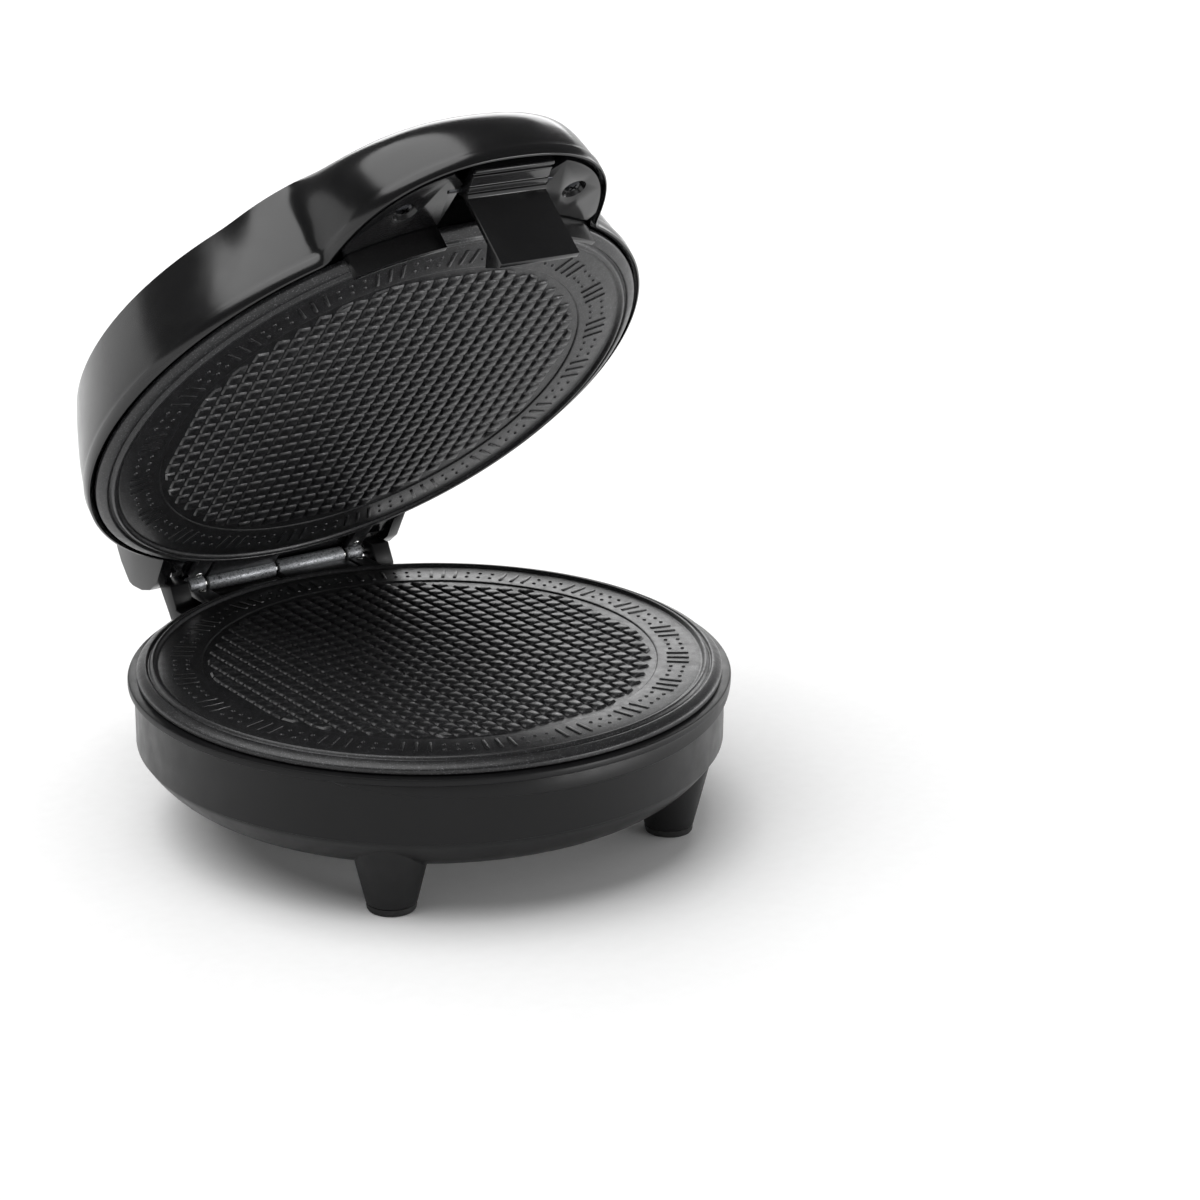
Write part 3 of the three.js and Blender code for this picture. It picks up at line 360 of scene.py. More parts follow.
# Finishes: each name with its material and the record's slot
FINISHES = {
    "housing": ("abs_moulded_satin", "satin_black_plastic"),
    "lid": ("abs_moulded_polished", "gloss_black_plastic"),
    "handle": ("abs_moulded_semi_gloss", "inner_plastic"),
    "leg": ("polyamide_moulded_matt", "leg_plastic"),
    "pad": ("rubber_moulded", "foot_rubber"),
    "coating": ("aluminium_cast_non_stick", "non_stick_casting"),
    "barrel": ("aluminium_cast_bare", "non_stick_casting"),
    "element": ("steel_tube_annealed", "element_steel"),
    "sheet": ("steel_sheet_rolled", "sheet_steel"),
    "bright": ("steel_turned_zinc_plated", "bright_steel"),
    "dark_screw": ("steel_turned_blackened", "bright_steel"),
    "ceramic": ("steatite_pressed", "ceramic"),
    "power_lens": ("polycarbonate_red_moulded", "red_lens"),
    "ready_lens": ("polycarbonate_green_moulded", "green_lens"),
}


def add(tree, kind, inputs=None, **settings):
    """Adds a shader node with its settings; inputs are values or other nodes' outputs."""
    node = tree.nodes.new("ShaderNode" + kind)
    for name, value in settings.items():
        setattr(node, name, value)
    for socket, value in (inputs or {}).items():
        if isinstance(value, bpy.types.NodeSocket):
            tree.links.new(value, node.inputs[socket])
        else:
            node.inputs[socket].default_value = value
    return node


def per_mm(size):
    """Texture scale whose pattern repeats every so many millimetres."""
    return 1 / (size * MM)


def noise(tree, size, detail=2.0, rough=0.5):
    """Noise in the piece's own coordinates, with features of a size in millimetres."""
    place = add(tree, "TexCoord").outputs["Object"]
    inputs = {"Vector": place, "Scale": per_mm(size), "Detail": detail, "Roughness": rough}
    return add(tree, "TexNoise", inputs).outputs["Fac"]


def spread(tree, value, low, high, start=0.3, end=0.7):
    """Stretches a noise value between two numbers."""
    inputs = {"Value": value, "From Min": start, "From Max": end, "To Min": low, "To Max": high}
    return add(tree, "MapRange", inputs).outputs["Result"]


def blend(tree, share, first, second):
    """Mixes two colours by a share; a colour is a value or an output."""
    mix = add(tree, "Mix", data_type="RGBA")
    for socket, value in ((0, share), (6, first), (7, second)):
        if isinstance(value, bpy.types.NodeSocket):
            tree.links.new(value, mix.inputs[socket])
        else:
            mix.inputs[socket].default_value = value
    return mix.outputs[2]


def shade(rgb, factor):
    """A colour made lighter or darker, with alpha."""
    return (*[min(c * factor, 1) for c in rgb], 1)


def bumps(tree, height, depth):
    """Normals from a height value, with a depth in millimetres."""
    inputs = {"Height": height, "Distance": depth * MM, "Strength": 1.0}
    return add(tree, "Bump", inputs).outputs["Normal"]


def surface(name):
    """A new material with only a shader, to which a finish adds its nodes."""
    material = bpy.data.materials.new(name)
    material.use_nodes = True
    tree = material.node_tree
    return tree, next(node for node in tree.nodes if node.type == "BSDF_PRINCIPLED")


def feed(tree, shader, **inputs):
    """Sets or links the shader's sockets; underscores stand for spaces."""
    for socket, value in inputs.items():
        target = shader.inputs[socket.replace("_", " ")]
        if isinstance(value, bpy.types.NodeSocket):
            tree.links.new(value, target)
        else:
            target.default_value = value


def moulded(name, rgb, rough, grain, depth, clouds=0.25, gleam=0.5):
    """Injection-moulded plastic: an even colour with slight clouds, and the mould's fine grain."""
    tree, shader = surface(name)
    cloud = noise(tree, 24, 3.0)
    fine = noise(tree, grain, 2.0)
    edge = add(tree, "NewGeometry").outputs["Pointiness"]
    body = blend(tree, cloud, shade(rgb, 1 - clouds), shade(rgb, 1 + clouds))
    # The convex edges, found by their pointiness, are drawn a little lighter than the faces
    lighter_edges = spread(tree, edge, 0, 0.5, 0.53, 0.62)
    feed(
        tree, shader,
        Base_Color=blend(tree, lighter_edges, body, shade(rgb, 2.2)),
        Roughness=spread(tree, noise(tree, 9, 4.0), rough[0], rough[1]),
        Normal=bumps(tree, fine, depth),
        IOR=1.53,
        Specular_IOR_Level=gleam,
    )


def cast_coated(name, rgb):
    """Sprayed non-stick coating: dark grey, with fine pale mineral specks and orange peel."""
    tree, shader = surface(name)
    # Specks of real coatings are about 0.1 mm; drawn at 0.45 mm so that they show
    specks = spread(tree, noise(tree, 0.45, 1.0), 0, 1, 0.6, 0.72)
    clouds = blend(tree, noise(tree, 14, 3.0), shade(rgb, 0.72), shade(rgb, 1.3))
    peel = noise(tree, 0.9, 2.0)
    feed(
        tree, shader,
        Base_Color=blend(tree, specks, clouds, shade(rgb, 9.0)),
        Roughness=spread(tree, noise(tree, 3, 3.0), 0.28, 0.4),
        Metallic=0.25,
        Normal=bumps(tree, peel, 0.03),
        Specular_IOR_Level=0.6,
    )


def cast_bare(name, rgb):
    """Tumbled die casting: dull grey metal with a coarse sparkle and darker pores."""
    tree, shader = surface(name)
    sparkle = noise(tree, 0.6, 2.0, 0.7)
    pores = spread(tree, noise(tree, 1.1, 2.0), 0, 1, 0.3, 0.42)
    body = blend(tree, spread(tree, sparkle, 0, 1), shade(rgb, 0.45), shade(rgb, 1.5))
    feed(
        tree, shader,
        Base_Color=blend(tree, pores, shade(rgb, 0.25), body),
        Roughness=spread(tree, noise(tree, 2, 3.0), 0.34, 0.5),
        Metallic=0.6,
        Normal=bumps(tree, sparkle, 0.06),
    )


def worked_steel(name, code, rough, size, tint):
    """Steel with the streaks of its making; the tint gives heat colours or stains."""
    rgb = linear(code)
    tree, shader = surface(name)
    place = add(tree, "TexCoord").outputs["Object"]
    stretch = add(tree, "Mapping", {"Vector": place, "Scale": (1, 0.12, 1)}).outputs["Vector"]
    inputs = {"Vector": stretch, "Scale": per_mm(size), "Detail": 3.0}
    streak = add(tree, "TexNoise", inputs).outputs["Fac"]
    body = blend(tree, streak, shade(rgb, 0.75), shade(rgb, 1.15))
    stain = spread(tree, noise(tree, 12, 3.0), 0, 0.6)
    feed(
        tree, shader,
        Base_Color=blend(tree, stain, body, (*linear(tint), 1)),
        Roughness=spread(tree, streak, rough[0], rough[1]),
        Metallic=1.0,
        Normal=bumps(tree, streak, 0.03),
    )


def rubbery(name, rgb):
    """Moulded rubber: dead matt, with dust in its grain."""
    tree, shader = surface(name)
    dust = spread(tree, noise(tree, 3, 4.0), 0, 0.4)
    feed(
        tree, shader,
        Base_Color=blend(tree, dust, (*rgb, 1), shade(rgb, 3.0)),
        Roughness=spread(tree, noise(tree, 2, 2.0), 0.78, 0.95),
        Normal=bumps(tree, noise(tree, 0.6, 2.0), 0.06),
    )


def pressed_ceramic(name):
    """Unglazed steatite: chalky white, with faint warm spots."""
    rgb = linear("#e6e1d6")
    tree, shader = surface(name)
    spots = spread(tree, noise(tree, 1.2, 3.0), 0, 0.7, 0.5, 0.7)
    feed(
        tree, shader,
        Base_Color=blend(tree, spots, (*rgb, 1), (*linear("#c3b69f"), 1)),
        Roughness=spread(tree, noise(tree, 2, 2.0), 0.55, 0.75),
        Normal=bumps(tree, noise(tree, 0.5, 2.0), 0.05),
    )


def lens(name, rgb):
    """Clear coloured polycarbonate: deep colour, polished outside, frosted within."""
    tree, shader = surface(name)
    frost = noise(tree, 0.7, 2.0)
    feed(
        tree, shader,
        Base_Color=blend(tree, frost, shade(rgb, 0.6), shade(rgb, 1.3)),
        Roughness=spread(tree, noise(tree, 2, 2.0), 0.08, 0.2),
        Transmission_Weight=0.35,
        IOR=1.58,
        Normal=bumps(tree, frost, 0.02),
    )


class APPLIANCE_OT_finishes(bpy.types.Operator):
    """Makes the materials of all pieces"""

    bl_idname = "appliance.finishes"
    bl_label = "Finishes"

    def execute(self, context):
        tone = colours()
        moulded("abs_moulded_satin", tone.housing, (0.3, 0.4), 0.5, 0.012, gleam=0.22)
        moulded("abs_moulded_polished", tone.lid, (0.16, 0.22), 2.5, 0.004, clouds=0.15)
        moulded("abs_moulded_semi_gloss", tone.handle, (0.18, 0.26), 0.7, 0.008)
        moulded("polyamide_moulded_matt", tone.legs, (0.45, 0.58), 0.45, 0.02, gleam=0.25)
        rubbery("rubber_moulded", tone.rubber)
        cast_coated("aluminium_cast_non_stick", tone.coating)
        cast_bare("aluminium_cast_bare", tone.barrel)
        worked_steel("steel_tube_annealed", "#6d6f72", (0.35, 0.55), 0.8, tint="#4f4a46")
        worked_steel("steel_sheet_rolled", "#9da1a5", (0.25, 0.45), 0.5, tint="#8b8c8d")
        worked_steel("steel_turned_zinc_plated", "#b9bcc0", (0.18, 0.32), 0.3, tint="#a9a596")
        worked_steel("steel_turned_blackened", "#3a3b3d", (0.2, 0.34), 0.3, tint="#26262a")
        pressed_ceramic("steatite_pressed")
        lens("polycarbonate_red_moulded", tone.power_lens)
        lens("polycarbonate_green_moulded", tone.ready_lens)
        return {"FINISHED"}


# Base


def belly(offset=0.0, count=14):
    """Points up the rounded belly of the bowl, from the floor's edge to the wall."""
    start, pull, end = Vector((92, BOWL_FLOOR)), Vector((106, 18.6)), Vector((115.6, 33.6))
    shift = Vector((offset, -offset))
    points = []
    for step in range(count + 1):
        t = step / count
        point = start * (1 - t) ** 2 + pull * 2 * t * (1 - t) + end * t**2 + shift
        points.append(tuple(point))
    return points


def bowl_height(radius):
    """Height of the bowl's outside at a distance from the axis."""
    points = belly(count=60)
    if radius <= points[0][0]:
        return points[0][1]
    for (r0, z0), (r1, z1) in zip(points, points[1:]):
        if radius <= r1:
            return z0 + (z1 - z0) * (radius - r0) / (r1 - r0)
    return points[-1][1]


def sector(name, inner, outer, half_angle, low, high):
    """Part of a ring round the axis, as far to the left of the front as to the right."""
    count = 60
    angles = [-math.pi / 2 + half_angle * (2 * step / count - 1) for step in range(count + 1)]
    front = [(outer * math.cos(a), outer * math.sin(a)) for a in angles]
    back = [(inner * math.cos(a), inner * math.sin(a)) for a in reversed(angles)]
    return prism(name, [*front, *back], low, high)


class APPLIANCE_OT_lower_housing(bpy.types.Operator):
    """Models the bowl of the base with its flange, catch lip, screw posts and hinge towers"""

    bl_idname = "appliance.lower_housing"
    bl_label = "Lower housing"

    def execute(self, context):
        edge = sizes().moulded_edge / MM
        outside = [(0, BOWL_FLOOR), (91.8, BOWL_FLOOR), *belly()]
        outside += [(115.62, 33.8), (115.9, 34.0), (WALL_R, 34.4)]
        rim = [
            (WALL_R, 57.2),
            (WALL_R + 0.15, 57.6),
            (FLANGE_R - 0.4, 57.7),
            (FLANGE_R, 58.1),
            (FLANGE_R, 59.7),
            (FLANGE_R - 0.25, 60.25),
            (FLANGE_R - 0.8, FLANGE_TOP),
            (112.9, FLANGE_TOP),
            (112.4, 60.1),
            (112.4, 57.9),
            (112.8, 57.6),
            (113.4, 57.2),
        ]
        inside = [(113.4, 34.4), *reversed(belly(-BOWL_WALL)), (0, BOWL_FLOOR + BOWL_WALL)]
        bowl = turned("lower_bowl", [*outside, *rim, *inside], steps=180)
        posts = []
        for place in BOSSES:
            tube = [(2.3, 18.5), (6.2, 18.5), (6.2, 49), (5.9, 49.4), (2.6, 49.4), (2.3, 49)]
            posts.append(turned("post", tube, 32, centre=(*place, 0)))
        bowl = joined("lower_bowl", [bowl, *posts])
        settle(bowl, "base", "housing", "lower_housing")
        settle(self.lip(), "base", "housing", "lower_housing")
        settle(self.bridge(), "base", "housing", "lower_housing")
        outline = [
            (-21, -21), (-13, -21), (-4, -8.2), (4.6, 3.2), (4.2, 4), (-6.4, 4),
            (-10.6, -4), (-10.6, -5.5), (-21, -5.5),
        ]
        for side, name in ((1, "right"), (-1, "left")):
            low, high = sorted(side * face for face in TOWER_FACES)
            tower = prism("hinge_tower_" + name, at_hinge(outline), low, high, "X")
            tower = rounded(tower, edge, 3)
            settle(tower, "base", "housing", "lower_housing")
        return {"FINISHED"}

    def lip(self):
        """The catch lip: a band under the flange, deepest in front, that tapers to its ends."""
        half, high, deep, shallow, lean = math.radians(50), 58.6, 7.0, 1.3, 1.5
        band = sector("catch_lip", 115, FLANGE_R, half, high - deep, high)
        edit(band)
        mesh = bmesh.from_edit_mesh(band.data)
        for vertex in mesh.verts:
            angle = math.atan2(vertex.co.x, -vertex.co.y)
            share = max(1 - (angle / half) ** 2, 0) ** 0.75
            if vertex.co.z < high - deep / 2:
                vertex.co.z = high - shallow - (deep - shallow) * share
            elif vertex.co.xy.length > WALL_R:
                vertex.co.xy *= 1 - lean * share / FLANGE_R
        bmesh.update_edit_mesh(band.data)
        deselect()
        return rounded(band, sizes().moulded_edge / MM, 3)

    def bridge(self):
        """A trough between the towers that closes the view below the barrels."""
        hollow = [
            (-12, -12), (-12, -6.6), (0, -6.6), (3.3, -5.8), (5.5, -3.9), (6.8, -3.9), (6.4, -8.5),
            (0, -12),
        ]
        return rounded(prism("hinge_bridge", at_hinge(hollow), -42.9, 42.9, "X"), 0.5, 2)


class APPLIANCE_OT_legs(bpy.types.Operator):
    """Models the four tapered legs, trimmed to the bowl, and the rubber pads under them"""

    bl_idname = "appliance.legs"
    bl_label = "Legs and foot pads"

    def execute(self, context):
        for place, corner in zip(BOSSES, CORNERS):
            leg = self.leg("leg_" + corner + "_smooth", Vector(place))
            settle(leg, "base", "leg", "leg_" + corner)
            pad = turned(
                "foot_pad_" + corner + "_smooth",
                [
                    (0, 0.6), (5.6, 0.6), (6.2, 0), (8.5, 0), (9.05, 0.2), (9.35, 0.7), (9.5, 1.6),
                    (9.5, 2.7), (9.3, 2.9), (4.9, 2.9), (4.9, 9), (0, 9),
                ],
                48,
                centre=(*place, 0),
            )
            settle(pad, "base", "pad", "foot_pad_" + corner)
        return {"FINISHED"}

    def leg(self, name, place):
        """A cone whose top follows the bowl's outside."""
        levels = [0, 0.012, 0.03, 0.1, 0.25, 0.4, 0.55, 0.7, 0.85, 1.0]
        deselect()
        bpy.ops.mesh.primitive_circle_add(vertices=72, radius=1, fill_type="NGON")
        piece = named(name)
        edit(piece)
        for level in levels:
            if level:
                bpy.ops.mesh.extrude_region_move()
            mesh = bmesh.from_edit_mesh(piece.data)
            for vertex in (v for v in mesh.verts if v.select):
                flat = vertex.co.xy if not level else vertex.co.xy - place
                angle = math.atan2(flat.y, flat.x)
                vertex.co = self.surface_point(place, angle, level)
            bmesh.update_edit_mesh(piece.data)
        return sound(piece)

    def surface_point(self, place, angle, level):
        """A point of the cone's side, at an angle and a share of the way from the pad to the bowl."""
        low, high, foot_radius, taper, sink = 3.0, 40.0, 9.7, 0.235, 0.4
        out = Vector((math.cos(angle), math.sin(angle)))
        radius = lambda z: foot_radius + (z - low) * taper
        start, top = low, high
        for _ in range(30):
            middle = (start + top) / 2
            if bowl_height((place + out * radius(middle)).length) > middle:
                start = middle
            else:
                top = middle
        z = low + (start + sink - low) * level
        inset = 0.5 if not level else 0.15 if level == 0.012 else 0
        return (*(place + out * (radius(z) - inset)), z)


# Baking plates


class APPLIANCE_OT_baking_plates(bpy.types.Operator):
    """Models a baking plate with its pads, bars, dots, bead and rim, and copies it for the lid"""

    bl_idname = "appliance.baking_plates"
    bl_label = "Baking plates"

    def execute(self, context):
        casting = self.casting()
        relief = joined("lower_relief", [self.pads(), self.ring_marks()])
        upper_casting, upper_relief = copied(casting, "upper_casting"), copied(relief, "upper_relief")
        settle(casting, "base", "coating", "lower_plate")
        settle(relief, "base", "coating", "lower_plate", angle=40)
        settle(upper_casting, "lid", "coating", "upper_plate", flip=True)
        settle(upper_relief, "lid", "coating", "upper_plate", flip=True, angle=40)
        return {"FINISHED"}

    def casting(self):
        """The disc with its stepped face, sealing bead, groove and sloping rim."""
        top = [
            (0, 1.9), (88.7, 1.9), (89.2, 1.84), (89.5, 1.5), (89.8, 1.34), (90.2, 1.3), (105.9, 1.3),
            (106.2, 1.42), (106.6, 1.5), (107, 1.42), (107.2, 1.28), (107.45, 0.9), (107.8, 0.45),
            (108.2, 0.2), (108.5, 0.15), (108.8, 0.2), (109.2, 0.45), (109.5, 0.9), (109.8, 1.4),
            (110.1, 1.66), (110.4, 1.7), (110.7, 1.5), (110.95, 1.1), (111.2, 1.0), (111.6, 1.06),
            (113.4, 1.95), (114, 2.3), (114.6, 2.8), (114.9, 3.2), (115, 3.6), (115, 4.7),
            (114.5, 5.2),
        ]
        back = [
            (73.9, 5.2), (73.9, 9.2), (73.7, 9.4), (71.7, 9.4), (71.5, 9.2), (71.5, 5.2), (64.5, 5.2),
            (64.5, 9.2), (64.3, 9.4), (62.3, 9.4), (62.1, 9.2), (62.1, 5.2), (0, 5.2),
        ]
        profile = [(r, MEET - drop) for r, drop in [*top, *back]]
        disc = turned("lower_casting", profile, steps=180)
        bosses = []
        for place in BOSSES:
            boss = [(2.3, 51.5), (5, 51.5), (5, 61.2), (0, 61.2), (0, 59), (2.3, 59)]
            bosses.append(turned("boss", boss, 32, centre=(*place, 0)))
        for x, y in ((16, 0), (-16, 0), (16, -30), (-16, -30)):
            stud = [(1.8, 56.8), (3.4, 56.8), (3.4, 61.2), (0, 61.2), (0, 60), (1.8, 60)]
            bosses.append(turned("stud", stud, 24, centre=(x, y, 0)))
        return joined("lower_casting", [disc, *bosses])

    def pads(self):
        """Square pads in rows: one is shaped, repeated by arrays and trimmed to the round field."""
        size = sizes()
        pitch, base = size.pad_pitch / MM, size.pad_base / MM
        top, rise = size.pad_top / MM, size.pad_rise / MM
        floor, sink, field, count, corner = MEET - 1.9, 0.2, 87.2, 28, 0.26
        first = -pitch * (count - 1) / 2
        deselect()
        bpy.ops.mesh.primitive_cube_add(size=1, location=(0, 0, 0))
        pad = named("pads")
        edit(pad)
        bpy.ops.transform.resize(value=(base, base, rise + sink))
        mesh = bmesh.from_edit_mesh(pad.data)
        for vertex in mesh.verts:
            if vertex.co.z > 0:
                vertex.co.xy *= top / base
        bmesh.update_edit_mesh(pad.data)
        bpy.ops.transform.translate(value=(first, first, floor + (rise - sink) / 2))
        rounded(pad, corner, 1, 20)
        corners = len(pad.data.vertices)
        for offset in ((pitch, 0, 0), (0, pitch, 0)):
            modified(
                pad, "ARRAY", count=count, use_relative_offset=False, use_constant_offset=True,
                constant_offset_displace=offset,
            )
        edit(pad)
        bpy.ops.mesh.select_all(action="DESELECT")
        mesh = bmesh.from_edit_mesh(pad.data)
        mesh.verts.ensure_lookup_table()
        for start in range(0, len(mesh.verts), corners):
            group = mesh.verts[start : start + corners]
            middle = sum((v.co for v in group), Vector()) / corners
            if middle.xy.length > field - 0.8:
                for vertex in group:
                    vertex.select_set(True)
                continue
            for vertex in group:
                limit = field - (0.7 if vertex.co.z > floor + rise / 2 else 0)
                if vertex.co.xy.length > limit:
                    vertex.co.xy *= limit / vertex.co.xy.length
        mesh.select_flush(True)
        bmesh.update_edit_mesh(pad.data)
        bpy.ops.mesh.delete(type="VERT")
        deselect()
        return pad

    def ring_marks(self):
        """Three bars and six dots, repeated twenty times round the field."""
        face, middle = MEET - 1.3, 97.5
        parts = []
        for degrees in (-3, 0, 3):
            angle = math.radians(degrees)
            place = (middle * math.sin(angle), -middle * math.cos(angle), face + 0.1)
            parts.append(rounded(block("bar", (1.5, 8.8, 0.7), place, angle), 0.34, 2, 30))
        for degrees in (6, 9, 12):
            for reach in (middle - 2.5, middle + 2.5):
                angle = math.radians(degrees)
                place = (reach * math.sin(angle), -reach * math.cos(angle), face - 0.05)
                bpy.ops.mesh.primitive_uv_sphere_add(
                    segments=10, ring_count=6, radius=0.85, location=place
                )
                dot = named("dot")
                dot.scale = (1, 1, 0.62)
                bpy.ops.object.transform_apply(location=True, rotation=True, scale=True)
                parts.append(dot)
        return spun_copies(joined("ring_marks", parts), 20, 18)


class APPLIANCE_OT_plate_hinge(bpy.types.Operator):
    """Models the lugs and barrels of the plates, with their rivets"""

    bl_idname = "appliance.plate_hinge"
    bl_label = "Plate hinge"

    def execute(self, context):
        spans = [(-42, -34.5, True), (0.7, 33, True), (34.5, 42, False)]
        lugs = [self.lug(low, high, HINGE_REACH if whole else 117.6) for low, high, whole in spans]
        barrels = [self.barrel(low, high) for low, high, whole in spans if whole]
        lugs, barrels = joined("lower_hinge_lugs", lugs), joined("lower_hinge_barrels", barrels)
        for piece, finish in ((lugs, "coating"), (barrels, "barrel")):
            upper = copied(piece, piece.name.replace("lower", "upper"))
            settle(piece, "base", finish, "lower_plate")
            settle(upper, "lid", finish, "upper_plate", flip=True)
        for level, body, flip in (("lower", "base", False), ("upper", "lid", True)):
            for way, side in ((-1, "left"), (1, "right")):
                self.rivet(f"{level}_lug_rivet_{side}", way, body, flip)
        return {"FINISHED"}

    def rivet(self, node, way, body, flip):
        x, y = LUG_RIVET
        dome = [
            (0, LUG_LOW), (0.9, LUG_LOW), (0.9, LUG_HIGH), (1.6, LUG_HIGH), (1.7, 65.25), (1.55, 65.5),
            (1.1, 65.72), (0.5, 65.8), (0, 65.8),
        ]
        centre = (-way * x if flip else way * x, y, 0)
        settle(turned(node + "_smooth", dome, 24, centre=centre), body, "bright", node, flip=flip)

    def lug(self, low, high, rear):
        """A flat lug whose front follows the plate's edge."""
        edge, count = 110.9, 8
        xs = [low + (high - low) * step / count for step in range(count + 1)]
        front = [(x, math.sqrt(edge**2 - x**2)) for x in xs]
        outline = [*front, (high, rear), (low, rear)]
        return rounded(prism("lug", outline, LUG_LOW, LUG_HIGH), 0.4, 2)

    def barrel(self, low, high):
        profile = [
            (2.3, low), (3.0, low), (3.4, low + 0.15), (BARREL_R, low + 0.5), (BARREL_R, high - 0.5),
            (3.4, high - 0.15), (3.0, high), (2.3, high),
        ]
        return turned("barrel", profile, 48, "X", (0, HINGE_REACH, MEET))


# Lid


def handle_share(angle, half, front, flank):
    """Share of a bulge at an angle from the front; the powers round its front and its flanks."""
    return (1 - min(abs(angle) / half, 1) ** front) ** flank


def handle_reach(angle, radius, rise=0):
    """Distance from the axis to the lid's outline, at an angle from the front and a share of the rise."""
    curved = rise**FRONT_TURN_POWER
    bulge = sizes().handle_reach / MM * (1 - curved) + FRONT_TOP_REACH * curved
    width = math.radians(0.5 + 1.3 * min(rise * 4, 1))
    total = 0
    # Neighbouring angles are averaged, so that the handle's flank runs softly into the wall
    for step, weight in ((-2, 1), (-1, 4), (0, 6), (1, 4), (2, 1)):
        place = angle + step * width
        front = handle_share(place, FRONT_HALF_ANGLE, 3, 1.25)
        flank = handle_share(place, FLANK_HALF_ANGLE, 3.3, 1.23) * FLANK_TOP_REACH
        total += weight / 16 * (front * bulge + flank * rise * (1 - front))
    return radius + total


def lid_levels():
    """Radius, height, rise and share of the outline, from the rim up to the crown."""
    levels = [(LID_R + dr, LID_RIM + dz, 0, 1) for dr, dz in (
        (-0.8, 0), (-0.3, 0.12), (0, 0.5), (0, 4.5), (-0.12, 4.85), (-0.55, 5.05), (-0.7, 5.4),
    )]
    wall = (
        0.05, 0.12, 0.2, 0.28, 0.36, 0.44, 0.52, 0.6, 0.67, 0.73, 0.79, 0.84, 0.88, 0.92, 0.95, 0.975,
    )
    low_radius, top_radius = LID_R - LID_BAND_STEP, LID_R - LID_LEAN
    for rise in wall:
        radius = low_radius + (top_radius - low_radius) * rise**WALL_LEAN_POWER
        levels.append((radius, LID_BAND_TOP + (LID_SHOULDER - LID_BAND_TOP) * rise, rise, 1))
    for share in (1, 0.985, 0.965, 0.93, 0.88, 0.8, 0.7, 0.6, 0.5, 0.4, 0.3, 0.2, 0.1, 0.04):
        levels.append((top_radius, LID_SHOULDER + LID_CROWN * (1 - share**2), 1, share))
    return levels


class APPLIANCE_OT_lid_shell(bpy.types.Operator):
    """Models the lid's shell ring by ring with its handle, its wall, the hinge ears and the apron"""

    bl_idname = "appliance.lid_shell"
    bl_label = "Lid shell"

    def execute(self, context):
        shell = self.shell()
        settle(shell, "lid", "lid", "lid_shell", angle=40)
        for side, name in ((1, "right"), (-1, "left")):
            settle(self.ear(side, name), "lid", "lid", "lid_shell")
        settle(self.sleeve(), "lid", "lid", "lid_shell")
        return {"FINISHED"}

    def sleeve(self):
        """A curved apron from the lid's rear wall over the barrels."""
        inner, outer, rim, half = 4.75, 6.0, 9.6, 43.4
        angles = [math.radians(128 - 10 * step) for step in range(15)]
        around = lambda radius, turns: [(radius * math.cos(a), radius * math.sin(a)) for a in turns]
        outline = [(-16, 6.4), (-16, 4.6), *around(inner, angles)]
        outline += [*around(outer, reversed(angles)), (-4.2, 6.4)]
        apron = prism("hinge_apron", at_hinge(outline), -half, half, "X")
        parts = [self.trimmed(apron, "hinge_apron")]
        swing = [math.radians(140 - 8 * step) for step in range(13)]
        collar = at_hinge([*around(inner, swing), *around(rim, reversed(swing))])
        parts += [prism("collar", collar, low, low + 1, "X") for low in (-44.2, 43.2)]
        return joined("hinge_apron", parts)

    def shell(self):
        deselect()
        bpy.ops.mesh.primitive_circle_add(vertices=360, radius=1, fill_type="NOTHING")
        piece = named("lid_cover")
        edit(piece)
        for index, (radius, height, rise, share) in enumerate(lid_levels()):
            if index:
                bpy.ops.mesh.extrude_region_move()
            mesh = bmesh.from_edit_mesh(piece.data)
            for vertex in (v for v in mesh.verts if v.select):
                angle = math.atan2(vertex.co.x, -vertex.co.y)
                reach = share * handle_reach(angle, radius, rise)
                vertex.co = (reach * math.sin(angle), -reach * math.cos(angle), height)
            bmesh.update_edit_mesh(piece.data)
        bpy.ops.mesh.merge(type="CENTER")
        sound(piece)
        wall = sizes().lid_wall / MM
        return modified(piece, "SOLIDIFY", thickness=wall, offset=-1, use_even_offset=True)

    def ear(self, side, name):
        """A cheek outside the tower and an inner part clear of it, trimmed inside the lid's wall."""
        rear = [
            (10.2, 9.6), (12, 11.6), (13.3, 14), (13.1, 18), (12.5, 24), (11, 29), (9, 33.5), (4, 37),
        ]
        reach = 7.9
        angles = [math.radians(degrees) for degrees in range(150, 50, -10)]
        arc = [(reach * math.cos(a), reach * math.sin(a)) for a in angles]
        inner = [(-36, 37), (-24, 3.95), *arc, (6.3, 5.6), *rear]
        cheek = [(-36, 37), (-24, 4), (-7.5, 0.4), (0, 1.7), (6.3, 5.6), *rear]
        parts = []
        for outline, start, end in ((inner, 45.5, 53.9), (cheek, 53.6, 58.5)):
            low, high = sorted((side * start, side * end))
            parts.append(prism("part", at_hinge(outline), low, high, "X"))
        ear = combined(parts[0], parts[1], "UNION")
        return rounded(self.trimmed(ear, "hinge_ear_" + name), 0.9, 3, 25)

    def trimmed(self, piece, name):
        """Cuts away what would stand inside the lid's wall."""
        edge = [
            (0, 60), (116.8, 60), (116.8, 75), (115.6, 82), (113.6, 89), (111.2, 96), (107.6, 105),
            (0, 112),
        ]
        piece = combined(piece, turned("inside", edge, 120), "DIFFERENCE")
        piece.name = name
        return piece


